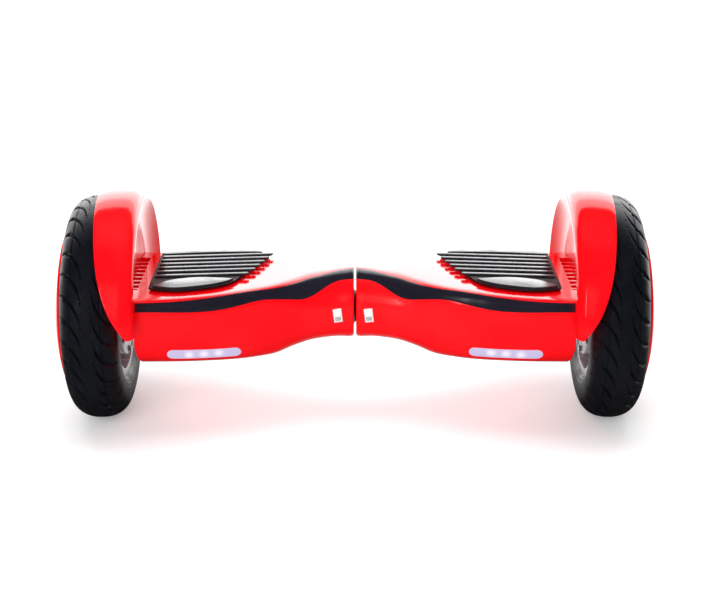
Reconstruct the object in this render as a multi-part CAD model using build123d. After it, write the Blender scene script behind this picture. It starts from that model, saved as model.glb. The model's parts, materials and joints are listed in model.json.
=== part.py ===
from build123d import *

import math
import os
from dataclasses import dataclass

os.makedirs("parts", exist_ok=True)

# Self balancing board: two foot platforms joined by a shaft, with a motor wheel at each end.
# Frame: X along the board, -Y the front, Z up, origin on the floor midway between the wheels.
# One half is modelled at +X with heights measured from the axle, then set in place or mirrored.

# Clearances
RUN_GAP = 0.05            # radial gap of a shaft or axle in its bore
FIT_GAP = 0.1             # gap around a fixed piece in its pocket
MOVE_GAP = 0.5            # gap left between pieces that move past each other

# Wheel
TYRE_RADIUS = 127.0
TYRE_WIDTH = 62.0
TYRE_WALL = 6.0
TUBE_WALL = 2.0
BEAD_RADIUS = 76.0
BEAD_HEIGHT = 7.0
BEAD_INSET = 9.0          # from the widest part of the sidewall in to the bead
RIM_WALL = 4.5
FLANGE_WALL = 3.4
SPOKE_COUNT = 10
SPOKE_WIDTH = 6.0
SPOKE_SWING = 9.0         # degrees that each spoke of a V leans
SPOKE_DEPTH = 22.0        # along the axle
DRUM_RADIUS = 50.0
DRUM_WALL = 3.0
MAGNET_COUNT = 20
MAGNET_THICKNESS = 2.6
MAGNET_LENGTH = 28.0
AIR_GAP = 0.6
SLOT_COUNT = 18
COVER_THICKNESS = 3.5
COVER_LIP = 5.0           # the motor cover's edge beyond the drum
COVER_SCREW_COUNT = 6
BEARING_RADIUS = 14.0
BEARING_WIDTH = 8.0
BEARING_SEAT_WALL = 3.0
HUB_CAP_RADIUS = 88.0
HUB_CAP_RISE = 14.0
HUB_CAP_WALL = 2.6
HUB_CAP_EYE = 1.0         # radius of the plug at the dome's centre
HUB_CAP_STANDOFF = 5.6    # the cap's edge beyond the widest part of the tyre

# Axle and its clamp
AXLE_RADIUS = 8.0
AXLE_BEARING_RADIUS = 6.0
AXLE_BORE_RADIUS = 4.0
CLAMP_LENGTH = 40.0
CLAMP_HALF_WIDTH = 24.0
CLAMP_HEIGHT = 16.0
CLAMP_BOLT_RADIUS = 2.5
CLAMP_BOLT_INSET = 9.0
NUT_HEIGHT = 5.0

# Platform
PLATFORM_LENGTH = 240.0   # middle of the board to the end of one platform
PLATFORM_DEPTH = 198.0
DECK_RISE = 37.5          # deck above the axle, at the platform's end
DECK_SLOPE = 1.75         # degrees, rising towards the middle
BELLY_DROP = 46.0         # underside below the axle
SHELL_WALL = 3.0
TRIM_DEPTH = 1.6
TRIM_MARGIN = 2.5         # flat of the deck to the nearest a trim comes
HALF_GAP = 1.2            # from the middle of the board to each half's end face
END_ROUND = 1.4
LOFT_STEP = 12.0          # spacing of the cross-sections
RAIL_LENGTH = 10.0        # deck rail past the platform's end wall
RAIL_HEIGHT = 9.5
GUTTER_DEPTH = 5.0
GUTTER_FRONT = -56.0
GUTTER_BACK = 65.0
GUTTER_PITCH = 14.0
GUTTER_RIB = 4.0
SIDE_HEIGHT = 8.0         # height above the axle where the platform is deepest

# Wheel arch
ARCH_CLEARANCE = 8.0
ARCH_WALL = 3.0
ARCH_EDGE = 14.0          # radius of the crease below the outer radius
ARCH_BOTTOM = 6.0         # height of the arch's lower edge above the axle
ARCH_FOOT_LOW = 12.0
ARCH_INNER_RADIUS = 22.0
ARCH_DROOP = 3.2          # fall of the crown towards its outer edge

# Pivot between the halves
SHAFT_RADIUS = 10.0
SHAFT_REACH = 58.0
BOSS_RADIUS = 20.0
BOSS_END = 52.0
BUSH_WALL = 2.0
BUSH_FLANGE = 1.6
RING_WIDTH = 2.0

# Frame and electronics
PLATE_TOP = -5.0
PLATE_THICKNESS = 5.0
PLATE_HALF_WIDTH = 40.0
RIB_HEIGHT = 8.0
POST_RADIUS = 5.0
SCREW_RADIUS = 2.0
SCREW_HEAD_RADIUS = 3.8
SCREW_HEAD_HEIGHT = 2.2
BOARD_THICKNESS = 1.6
GYRO_BOARD_LENGTH = 70.0
GYRO_BOARD_WIDTH = 56.0
GYRO_BOARD_HEIGHT = 13.0  # above the axle
SWITCH_HEIGHT = 3.0
BATTERY_GAP = 1.0
BAY_START_SHARE = 0.39    # of the platform's length, where the underside reaches its full drop
CABLE_RADIUS = 3.0

# Foot pad
PAD_TRAVEL = 1.5
PAD_BASE = 1.8
PAD_RIDGE = 2.4
PAD_EDGE_INSET = 12.0     # pad's outer edge in from the platform's end
PAD_RIDGE_WIDTH = 6.2
PLUNGER_RADIUS = 4.0

# Lamp, button and charging port
LAMP_LENGTH = 80.0
LAMP_HEIGHT = 13.5
LAMP_FROM_END = 74.0
LAMP_LEVEL = -27.5        # centre's height from the axle
LAMP_TILT = 2.4           # degrees, lower towards the middle of the board
BUTTON_RADIUS = 7.0
BUTTON_TRAVEL = 1.5
BUTTON_FROM_END = 78.0
BUTTON_PROUD = BUTTON_TRAVEL + 0.7
BUTTON_COLLAR = 1.5       # how far the collar inside the shell reaches past the stem
PORT_RADIUS = 11.0
PORT_FLANGE_RADIUS = 14.0
PORT_FLANGE = 2.0
PORT_BORE_RADIUS = 6.0
PORT_BORE_DEPTH = 12.0
PORT_BODY = 24.0
PORT_FROM_END = 36.0
PORT_LEVEL = 0.0
CAP_THICKNESS = 2.5
HINGE_RADIUS = 1.8
HINGE_PIN_RADIUS = 1.0

# Places that follow from the sizes above
ARCH_FACE = PLATFORM_LENGTH + RAIL_LENGTH
TYRE_INNER = ARCH_FACE + ARCH_WALL + 4.0
WHEEL_CENTRE = TYRE_INNER + TYRE_WIDTH / 2
TYRE_OUTER = TYRE_INNER + TYRE_WIDTH
ARCH_RADIUS = TYRE_RADIUS + ARCH_CLEARANCE + ARCH_WALL
BEAD_IN = TYRE_INNER + BEAD_INSET
BEAD_OUT = TYRE_OUTER - BEAD_INSET
COVER_IN = BEAD_IN - FLANGE_WALL - 2.0
DRUM_IN = COVER_IN + COVER_THICKNESS
DRUM_OUT = BEAD_OUT - 4.0
CAP_EDGE = TYRE_OUTER + HUB_CAP_STANDOFF
CLAMP_END = PLATFORM_LENGTH - SHELL_WALL - 1.0
CLAMP_START = CLAMP_END - CLAMP_LENGTH
BAY_START = BAY_START_SHARE * PLATFORM_LENGTH
BAY_END = CLAMP_START - 4.0
PORT_X = PLATFORM_LENGTH - PORT_FROM_END
BUTTON_X = PLATFORM_LENGTH - BUTTON_FROM_END
LAMP_X = PLATFORM_LENGTH - LAMP_FROM_END
PLATE_BOTTOM = PLATE_TOP - PLATE_THICKNESS


@dataclass(frozen=True)
class Station:
    """One cross-section of the platform, as shares of its driving sizes."""

    along: float          # of the platform's length
    depth: float          # half depth, of half the platform's depth
    flat: float           # half width of the flat top, of half the platform's depth
    crown: float          # top above the sloping deck plane, in millimetres
    drop: float           # underside, of the belly drop
    belly: float          # half width of the flat underside, of half the platform's depth
    upper: float          # fullness of the upper corner
    lower: float          # fullness of the lower corner


STATIONS = [
    Station(0.011, 0.424, 0.040, 3.8, 0.707, 0.040, 0.56, 0.56),
    Station(0.100, 0.444, 0.060, 1.9, 0.707, 0.060, 0.57, 0.56),
    Station(0.196, 0.505, 0.100, 0.6, 0.739, 0.100, 0.60, 0.58),
    Station(0.296, 0.586, 0.300, 0.0, 0.870, 0.160, 0.72, 0.60),
    Station(0.392, 0.687, 0.500, 0.0, 1.022, 0.220, 0.80, 0.62),
    Station(0.521, 0.808, 0.640, 0.0, 1.043, 0.300, 0.84, 0.66),
    Station(0.667, 0.919, 0.760, 0.0, 1.022, 0.360, 0.86, 0.68),
    Station(0.833, 0.980, 0.820, 0.0, 1.000, 0.400, 0.86, 0.70),
    Station(1.042, 1.000, 0.840, 0.0, 1.000, 0.400, 0.86, 0.70),
]


def deck_height(x):
    """Height of the deck plane above the axle."""
    return DECK_RISE + (PLATFORM_LENGTH - x) * math.tan(math.radians(DECK_SLOPE))


def station_values(station):
    """Sizes of a station's cross-section in millimetres."""
    half = PLATFORM_DEPTH / 2
    x = station.along * PLATFORM_LENGTH
    return (
        station.depth * half,
        station.flat * half,
        deck_height(x) + station.crown,
        -station.drop * BELLY_DROP,
        station.belly * half,
        station.upper,
        station.lower,
    )


def smooth_value(places, values, x):
    """Value at x on a smooth curve through the stations, with no overshoot between them."""
    steps = [(b - a) / (q - p) for a, b, p, q in zip(values, values[1:], places, places[1:])]
    inner = [0.0 if a * b <= 0 else 2 * a * b / (a + b) for a, b in zip(steps, steps[1:])]
    slopes = [steps[0]] + inner + [steps[-1]]
    index = 0
    while index < len(places) - 2 and x > places[index + 1]:
        index += 1
    span = places[index + 1] - places[index]
    t = min(max((x - places[index]) / span, 0.0), 1.0)
    start = values[index] * (1 + 2 * t) * (1 - t) ** 2 + slopes[index] * span * t * (1 - t) ** 2
    finish = values[index + 1] * t * t * (3 - 2 * t) + slopes[index + 1] * span * t * t * (t - 1)
    return start + finish


def section_values(x, inset=0.0):
    """Sizes of the cross-section at x, moved in by an inset."""
    places = [station.along * PLATFORM_LENGTH for station in STATIONS]
    columns = zip(*[station_values(station) for station in STATIONS])
    depth, flat, top, bottom, belly, upper, lower = [smooth_value(places, column, x) for column in columns]
    return depth - inset, flat, top - inset, bottom + inset, belly, upper, lower


def section_wire(x, values):
    """Closed outline of the platform across X: flat top and underside, full rounded sides."""
    depth, flat, top, bottom, belly, upper, lower = values

    def corner(side):
        above = Bezier(
            (x, side * flat, top),
            (x, side * (flat + upper * (depth - flat)), top),
            (x, side * depth, SIDE_HEIGHT + upper * (top - SIDE_HEIGHT)),
            (x, side * depth, SIDE_HEIGHT),
        )
        below = Bezier(
            (x, side * depth, SIDE_HEIGHT),
            (x, side * depth, SIDE_HEIGHT - lower * (SIDE_HEIGHT - bottom)),
            (x, side * (belly + lower * (depth - belly)), bottom),
            (x, side * belly, bottom),
        )
        return [above, below]

    top_line = Line((x, -flat, top), (x, flat, top))
    bottom_line = Line((x, belly, bottom), (x, -belly, bottom))
    return Wire([top_line] + corner(1) + [bottom_line] + corner(-1))


def platform_loft(inset, start, end):
    """Solid of the platform's outer form moved in by an inset, between two places along X."""
    count = round((end - start) / LOFT_STEP)
    places = [start + (end - start) * index / count for index in range(count + 1)]
    return Part() + Solid.make_loft([section_wire(x, section_values(x, inset)) for x in places])


def side_half_width(x, z, inset):
    """Half width of the platform's inside at a height below its deepest level."""
    depth, _, _, bottom, belly, _, lower = section_values(x, inset)
    start = (depth, SIDE_HEIGHT)
    steer_a = (depth, SIDE_HEIGHT - lower * (SIDE_HEIGHT - bottom))
    steer_b = (belly + lower * (depth - belly), bottom)
    finish = (belly, bottom)
    best = depth
    for step in range(101):
        t = step / 100
        weights = ((1 - t) ** 3, 3 * t * (1 - t) ** 2, 3 * t * t * (1 - t), t ** 3)
        y = sum(w * p[0] for w, p in zip(weights, (start, steer_a, steer_b, finish)))
        height = sum(w * p[1] for w, p in zip(weights, (start, steer_a, steer_b, finish)))
        best = y
        if height <= z:
            break
    return best


def span_box(x0, x1, y0, y1, z0, z1):
    """Box between two values on each axis."""
    centre = Pos((x0 + x1) / 2, (y0 + y1) / 2, (z0 + z1) / 2)
    return centre * Box(x1 - x0, y1 - y0, z1 - z0)


def rod_x(radius, x0, x1, y=0.0, z=0.0):
    """Cylinder along X."""
    return Pos((x0 + x1) / 2, y, z) * Rot(0, 90, 0) * Cylinder(radius, x1 - x0)


def rod_y(radius, y0, y1, x=0.0, z=0.0):
    """Cylinder along Y."""
    return Pos(x, (y0 + y1) / 2, z) * Rot(90, 0, 0) * Cylinder(radius, y1 - y0)


def rod_z(radius, z0, z1, x=0.0, y=0.0):
    """Cylinder along Z."""
    return Pos(x, y, (z0 + z1) / 2) * Cylinder(radius, z1 - z0)


def ring_x(outer, inner, x0, x1):
    """Ring about the axle line."""
    return rod_x(outer, x0, x1) - rod_x(inner, x0 - 1, x1 + 1)


def turned(edges):
    """Solid turned about the X axis from a closed profile drawn in (X, radius)."""
    face = Face(Wire(edges))
    return revolve(Plane.XZ * face, axis=Axis.X)


def polygon_edges(points):
    """Straight edges of a closed profile."""
    return [Line(a, b) for a, b in zip(points, points[1:] + points[:1])]


def group(solids):
    """Several separate solids as one node."""
    return Compound(children=[piece for solid in solids for piece in solid.solids()])


# ---------------------------------------------------------------- platform shells

# Heights of the trim strip's edges above the axle, against shares of the platform's length.
TRIM_TOP = [(0.005, 48.2), (0.093, 45.6), (0.161, 43.2), (0.240, 41.2), (0.290, 40.3), (0.396, 40.1),
            (0.463, 40.2), (0.544, 39.5), (0.637, 38.4), (0.719, 37.3), (0.874, 35.6), (1.060, 35.0)]
TRIM_BOTTOM = [(0.005, 41.0), (0.046, 40.4), (0.088, 38.6), (0.120, 35.9), (0.165, 30.6), (0.203, 26.6),
               (0.242, 24.9), (0.288, 26.1), (0.347, 28.5), (0.421, 30.4), (0.467, 29.6), (0.529, 27.3),
               (0.618, 24.9), (0.696, 24.4), (0.785, 24.8), (1.060, 25.0)]


def seam_height(points, x):
    """Height of a seam at x, between the points that set it."""
    share = x / PLATFORM_LENGTH
    scale = DECK_RISE / 37.5
    for (a, low), (b, high) in zip(points, points[1:]):
        if share <= b:
            return scale * (low + (high - low) * (share - a) / (b - a))
    return scale * points[-1][1]


def seam_block(points, ceiling):
    """Solid between a seam's height and a ceiling or floor, as deep as the platform."""
    scale = DECK_RISE / 37.5
    course = [(share * PLATFORM_LENGTH, scale * height) for share, height in points]
    spline = Spline(*[(x, 0, z) for x, z in course])
    first, last = course[0], course[-1]
    closing = [
        Line((last[0], 0, last[1]), (last[0], 0, ceiling)),
        Line((last[0], 0, ceiling), (0, 0, ceiling)),
        Line((0, 0, ceiling), (0, 0, first[1])),
        Line((0, 0, first[1]), (first[0], 0, first[1])),
    ]
    face = Face(Wire([spline] + closing))
    return extrude(face, PLATFORM_DEPTH, dir=(0, 1, 0), both=True)


def middle_course():
    """Seam between the top and bottom shells, hidden behind the trim strips."""
    course = []
    for share, high in TRIM_TOP:
        low = seam_height(TRIM_BOTTOM, share * PLATFORM_LENGTH) * 37.5 / DECK_RISE
        course.append((share, (high + low) / 2))
    return course


def screw_places():
    """Screws through the underside into the frame."""
    return [(BAY_START - 17.0, 10.0), (BAY_START - 17.0, -10.0),
            (CLAMP_START + 14.0, 30.0), (CLAMP_START + 14.0, -30.0)]


def deck_post_places():
    """Posts of the top shell that stand on the frame."""
    return [(BAY_START - 24.0, 26.0), (BAY_START - 24.0, -26.0),
            (CLAMP_START + 27.0, 33.0), (CLAMP_START + 27.0, -33.0)]


def plunger_places():
    """Pad plungers over the switches."""
    middle = (BAY_START + BAY_END) / 2
    return [(middle + 22.0, 0.0), (middle - 12.0, 18.0), (middle - 12.0, -18.0)]


def lamp_bar(gap):
    """Bar along Y with the lamp's rounded outline, less a gap all round."""
    radius = LAMP_HEIGHT / 2 - gap
    reach = (LAMP_LENGTH - LAMP_HEIGHT) / 2
    front, back = -200, -20
    bar = span_box(-reach, reach, front, back, -radius, radius)
    bar += rod_y(radius, front, back, -reach) + rod_y(radius, front, back, reach)
    return Pos(LAMP_X, 0, LAMP_LEVEL) * Rot(0, -LAMP_TILT, 0) * bar


class Platform:
    """Shells, trims and frame of one half, modelled at +X."""

    def __init__(self):
        rounded = section_values(HALF_GAP + END_ROUND)
        narrow = section_values(HALF_GAP, END_ROUND)
        nose = Solid.make_loft(
            [section_wire(HALF_GAP, narrow), section_wire(HALF_GAP + END_ROUND, rounded)], ruled=True)
        self.outer = platform_loft(0.0, HALF_GAP + END_ROUND, ARCH_FACE) + nose
        self.skin = platform_loft(TRIM_DEPTH, HALF_GAP + SHELL_WALL / 2, ARCH_FACE + 1.0)
        self.inner = platform_loft(SHELL_WALL, HALF_GAP + SHELL_WALL, PLATFORM_LENGTH - SHELL_WALL)
        self.inside = platform_loft(SHELL_WALL + MOVE_GAP, HALF_GAP + SHELL_WALL + MOVE_GAP,
                                    PLATFORM_LENGTH - SHELL_WALL - MOVE_GAP)
        self.above_trim_top = seam_block(TRIM_TOP, 90.0)
        self.below_trim_bottom = seam_block(TRIM_BOTTOM, -90.0)
        self.above_middle = seam_block(middle_course(), 90.0)
        self.trim_length = span_box(HALF_GAP - 1, PLATFORM_LENGTH - 2.0, -200, 200, -90, 90)
        self.trim_ring = self.make_trim_ring()
        self.casing = self.shell()

    def deck_plan(self):
        """Block under the flat of the deck, which the trims leave alone."""
        half = PLATFORM_DEPTH / 2
        edge = [(station.along * PLATFORM_LENGTH, station.flat * half + TRIM_MARGIN) for station in STATIONS]
        edge = [(0, edge[0][1])] + edge[1:] + [(ARCH_FACE + 20, edge[-1][1])]
        corners = edge + [(x, -y) for x, y in reversed(edge)]
        face = Face(Wire(polygon_edges([(x, y, 0) for x, y in corners])))
        return extrude(face, 90, dir=(0, 0, 1))

    def make_trim_ring(self):
        band = self.trim_length - self.above_trim_top - self.below_trim_bottom - self.deck_plan()
        return (self.outer - self.skin) & band

    def trims(self):
        front = self.trim_ring & span_box(0, 400, -200, -0.5, -90, 90)
        rear = self.trim_ring & span_box(0, 400, 0.5, 200, -90, 90)
        return front, rear

    def shell(self):
        """Hollow casing with its end rail, cut for the trims and the pivot boss."""
        casing = self.outer - self.inner
        casing -= span_box(PLATFORM_LENGTH, ARCH_FACE + 1, -200, 200, -90, deck_height(ARCH_FACE) - RAIL_HEIGHT)
        casing -= self.trim_ring
        casing -= rod_x(BOSS_RADIUS + FIT_GAP, -5, 12)
        return casing

    def top_shell(self):
        cover = self.casing & self.above_middle
        rail_top = deck_height(ARCH_FACE)
        floor = rail_top - GUTTER_DEPTH
        gutter = span_box(PLATFORM_LENGTH, ARCH_FACE + 1, GUTTER_FRONT, GUTTER_BACK, floor, rail_top + 5)
        cover -= gutter
        count = int((GUTTER_BACK - GUTTER_FRONT) / GUTTER_PITCH)
        for index in range(count):
            y = GUTTER_FRONT + GUTTER_PITCH * (index + 0.75)
            cover += span_box(PLATFORM_LENGTH - 1, ARCH_FACE, y, y + GUTTER_RIB, floor - 1, floor + 3.0)
        for x, y in deck_post_places():
            post = rod_z(POST_RADIUS, PLATE_TOP, deck_height(x) + 10, x, y) & self.outer
            cover += post & span_box(0, 400, -200, 200, PLATE_TOP, 90)
        for x, y in deck_post_places():
            cover -= rod_z(SCREW_RADIUS + FIT_GAP, PLATE_TOP - 1, PLATE_TOP + 12, x, y)
        for x, y in plunger_places():
            cover -= rod_z(PLUNGER_RADIUS + MOVE_GAP, 0, 90, x, y)
        return cover - turned(arch_profile(-FIT_GAP))

    def bottom_shell(self, has_port):
        tray = self.casing - self.above_middle
        tray -= span_box(PLATFORM_LENGTH, ARCH_FACE + 5, -200, 200, -90, 90)
        tray -= rod_x(AXLE_RADIUS + 1.0, PLATFORM_LENGTH - 10, PLATFORM_LENGTH + 5)
        heel = span_box(PLATFORM_LENGTH - 14, PLATFORM_LENGTH, -200, 200, -90, -BELLY_DROP + 24)
        tray += self.inner & heel
        toe = [(PLATFORM_LENGTH + 1, -BELLY_DROP - 5), (PLATFORM_LENGTH - 9, -BELLY_DROP - 5),
               (PLATFORM_LENGTH - 7, -BELLY_DROP), (PLATFORM_LENGTH - 2, -BELLY_DROP + 14),
               (PLATFORM_LENGTH + 1, -BELLY_DROP + 34)]
        toe_face = Face(Wire(polygon_edges([(x, 0, z) for x, z in toe])))
        tray -= extrude(toe_face, 200, dir=(0, 1, 0), both=True)
        for x, y in screw_places():
            seat = rod_z(SCREW_HEAD_RADIUS + 3.0, -90, self.screw_face(x) + 3.0, x, y) & self.outer
            tray += seat
        for x, y in screw_places():
            tray -= rod_z(SCREW_HEAD_RADIUS + FIT_GAP, -90, self.screw_face(x), x, y)
            tray -= rod_z(SCREW_RADIUS + FIT_GAP, -90, 0, x, y)
        tray -= lamp_bar(0.0)
        if has_port:
            tray -= rod_y(PORT_RADIUS + FIT_GAP, 60, 200, PORT_X, PORT_LEVEL)
            tray -= rod_y(BUTTON_RADIUS + MOVE_GAP, 60, 200, BUTTON_X, PORT_LEVEL)
        return tray

    def screw_face(self, x):
        """Height of the seat under a screw's head."""
        return section_values(x)[3] + SCREW_HEAD_HEIGHT + 1.0

    def frame(self, shaft_bore, start):
        """Cast frame: plate, edge ribs, pivot boss, axle seat, posts and bosses."""
        plate = span_box(BOSS_END - 34, CLAMP_END, -PLATE_HALF_WIDTH, PLATE_HALF_WIDTH, PLATE_BOTTOM, PLATE_TOP)
        for side in (-1, 1):
            low, high = sorted((side * PLATE_HALF_WIDTH, side * (PLATE_HALF_WIDTH - 3)))
            plate += span_box(BOSS_END, CLAMP_START, low, high, PLATE_TOP - 1, PLATE_TOP + RIB_HEIGHT)
        plate &= self.inside
        seat = span_box(CLAMP_START, CLAMP_END, -CLAMP_HALF_WIDTH, CLAMP_HALF_WIDTH, -CLAMP_HEIGHT, 0)
        boss = rod_x(BOSS_RADIUS, start, BOSS_END)
        body = plate + seat + boss
        for x, y in screw_places():
            post = rod_z(POST_RADIUS, self.screw_face(x) + 3.0, PLATE_BOTTOM + 1, x, y)
            body += post
        for x, y in gyro_post_places():
            body += rod_z(POST_RADIUS - 1, PLATE_TOP - 1, GYRO_BOARD_HEIGHT, x, y)
        for x, y in screw_places():
            body -= rod_z(SCREW_RADIUS + FIT_GAP, -90, PLATE_BOTTOM - 2, x, y)
        for x, y in deck_post_places():
            body -= rod_z(SCREW_RADIUS + FIT_GAP, -90, 10, x, y)
        for x, y in clamp_bolt_places():
            body -= rod_z(CLAMP_BOLT_RADIUS + FIT_GAP, -CLAMP_HEIGHT + 4, 5, x, y)
        body -= rod_x(AXLE_RADIUS + FIT_GAP, CLAMP_START - 30, CLAMP_END + 5)
        body -= rod_x(BOSS_RADIUS, BOSS_END, SHAFT_REACH + 2.0)
        body -= rod_x(shaft_bore, -5, BOSS_END + 5)
        return body


def gyro_post_places():
    """Posts under the corners of the gyro board."""
    middle = (BAY_START + BAY_END) / 2
    reach_x = GYRO_BOARD_LENGTH / 2 - 5
    reach_y = GYRO_BOARD_WIDTH / 2 - 5
    return [(middle + a * reach_x, b * reach_y) for a in (-1, 1) for b in (-1, 1)]


def clamp_bolt_places():
    """Bolts of the axle clamp."""
    return [(x, side * (CLAMP_HALF_WIDTH - CLAMP_BOLT_INSET))
            for x in (CLAMP_START + CLAMP_BOLT_INSET, CLAMP_END - CLAMP_BOLT_INSET)
            for side in (-1, 1)]


# ---------------------------------------------------------------- wheel arch

def arch_profile(grow):
    """Closed profile of the arch in (X, radius); grow moves the tyre side in by the wall."""
    crease = ARCH_RADIUS - ARCH_EDGE
    lip = ARCH_FACE - 14.0
    crown_start = ARCH_FACE + 12.0
    crown_end = WHEEL_CENTRE - 1.0
    outer_edge = TYRE_OUTER
    face = ARCH_FACE + grow
    roof = ARCH_RADIUS - grow
    return [
        Line((face, ARCH_INNER_RADIUS), (face, crease - 42)),
        Spline((face, crease - 42), (ARCH_FACE - 4.0 + grow, crease - 16), (lip + grow, crease),
               tangents=((0, 1), (-1, 1))),
        Bezier((lip + grow, crease), (lip + grow, roof - 4.0), (lip + 9.0 + grow, roof), (crown_start, roof)),
        Bezier((crown_start, roof), (crown_start + 10.0, roof), (crown_end - 6.0, roof - 0.9),
               (crown_end, roof - ARCH_DROOP)),
        Line((crown_end, roof - ARCH_DROOP), (outer_edge, roof - ARCH_DROOP)),
        Line((outer_edge, roof - ARCH_DROOP), (outer_edge, 0)),
        Line((outer_edge, 0), (face, 0)),
        Line((face, 0), (face, ARCH_INNER_RADIUS)),
    ]


def arch_outline():
    """Outer edge of the arch in (X, height above the axle)."""
    top = ARCH_RADIUS
    reach = [(WHEEL_CENTRE - 3.2, top + 1), (WHEEL_CENTRE - 5.4, 0.90 * top), (WHEEL_CENTRE - 7.4, 0.80 * top),
             (WHEEL_CENTRE - 10.0, 0.68 * top), (WHEEL_CENTRE - 14.0, 0.53 * top),
             (WHEEL_CENTRE - 20.0, 0.375 * top), (WHEEL_CENTRE - 28.0, 0.232 * top),
             (WHEEL_CENTRE - 37.0, 0.122 * top), (WHEEL_CENTRE - 48.0, ARCH_BOTTOM - 4)]
    return reach


def arch():
    """Arch over the wheel with the foot that fastens it to the platform."""
    cover = turned(arch_profile(0.0)) - turned(arch_profile(ARCH_WALL))
    cover -= rod_x(ARCH_INNER_RADIUS, ARCH_FACE - 5, TYRE_OUTER + 5)
    points = [(x, 0, z) for x, z in arch_outline()]
    edge = Spline(*points)
    first, last = points[0], points[-1]
    left = ARCH_FACE - 40
    border = [edge, Line(last, (left, 0, last[2])), Line((left, 0, last[2]), (left, 0, first[2])),
              Line((left, 0, first[2]), first)]
    keep = extrude(Face(Wire(border)), ARCH_RADIUS + 5, dir=(0, 1, 0), both=True)
    cover &= keep
    cover &= span_box(0, 400, -200, 200, ARCH_BOTTOM, 200)
    foot_top = deck_height(ARCH_FACE) - RAIL_HEIGHT
    foot = span_box(PLATFORM_LENGTH, ARCH_FACE + ARCH_WALL, -60, 60, ARCH_FOOT_LOW, foot_top)
    foot -= span_box(PLATFORM_LENGTH + 3, ARCH_FACE, -57, 57, ARCH_FOOT_LOW - 1, foot_top - 3)
    return cover + foot - rod_x(AXLE_RADIUS + 3.0, 0, 400)


# ---------------------------------------------------------------- wheel

def tyre():
    mid, outer, inner = WHEEL_CENTRE, TYRE_OUTER, TYRE_INNER
    waist = (BEAD_RADIUS + TYRE_RADIUS) / 2 - 2
    shoulder = TYRE_RADIUS - 9.0
    bead_top = BEAD_RADIUS + BEAD_HEIGHT
    wall = TYRE_WALL

    def side(edge, turn, step):
        """Outer and inner stretches of one sidewall; step points to the tyre's inside."""
        bead = edge + step * BEAD_INSET
        return [
            Line((bead, BEAD_RADIUS), (bead, bead_top)),
            ThreePointArc((bead, bead_top), (edge, waist), (edge + step * turn, shoulder)),
        ]

    crown = ThreePointArc((inner + 7, shoulder), (mid, TYRE_RADIUS), (outer - 7, shoulder))
    hollow_top = ThreePointArc((inner + 12, shoulder - wall + 2), (mid, TYRE_RADIUS - wall - 1),
                               (outer - 12, shoulder - wall + 2))
    left = side(inner, 7, 1)
    right = side(outer, 7, -1)
    foot = wall - 1
    edges = left + [crown] + right
    inner_left = ThreePointArc((BEAD_IN + foot, bead_top), (inner + wall, waist), (inner + 12, shoulder - wall + 2))
    inner_right = ThreePointArc((BEAD_OUT - foot, bead_top), (outer - wall, waist),
                                (outer - 12, shoulder - wall + 2))
    edges += [
        Line((BEAD_IN, BEAD_RADIUS), (BEAD_IN + foot, BEAD_RADIUS)),
        Line((BEAD_IN + foot, BEAD_RADIUS), (BEAD_IN + foot, bead_top)),
        inner_left,
        hollow_top,
        inner_right,
        Line((BEAD_OUT - foot, bead_top), (BEAD_OUT - foot, BEAD_RADIUS)),
        Line((BEAD_OUT - foot, BEAD_RADIUS), (BEAD_OUT, BEAD_RADIUS)),
    ]
    return turned(edges)


def inner_tube():
    """Air tube inside the tyre, with its valve through the rim bed."""
    middle = (BEAD_RADIUS + TYRE_RADIUS - TYRE_WALL) / 2
    half_height = (TYRE_RADIUS - TYRE_WALL - BEAD_RADIUS) / 2 - 3.5
    half_width = TYRE_WIDTH / 2 - TYRE_WALL - 4.0
    ring = Pos(WHEEL_CENTRE, middle) * (Ellipse(half_width, half_height)
                                        - Ellipse(half_width - TUBE_WALL, half_height - TUBE_WALL))
    tube = revolve(Plane.XZ * ring, axis=Axis.X)
    stem = rod_z(3.0, BEAD_RADIUS - RIM_WALL - 9, middle - half_height + TUBE_WALL / 2, WHEEL_CENTRE, 0)
    return tube + stem


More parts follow.
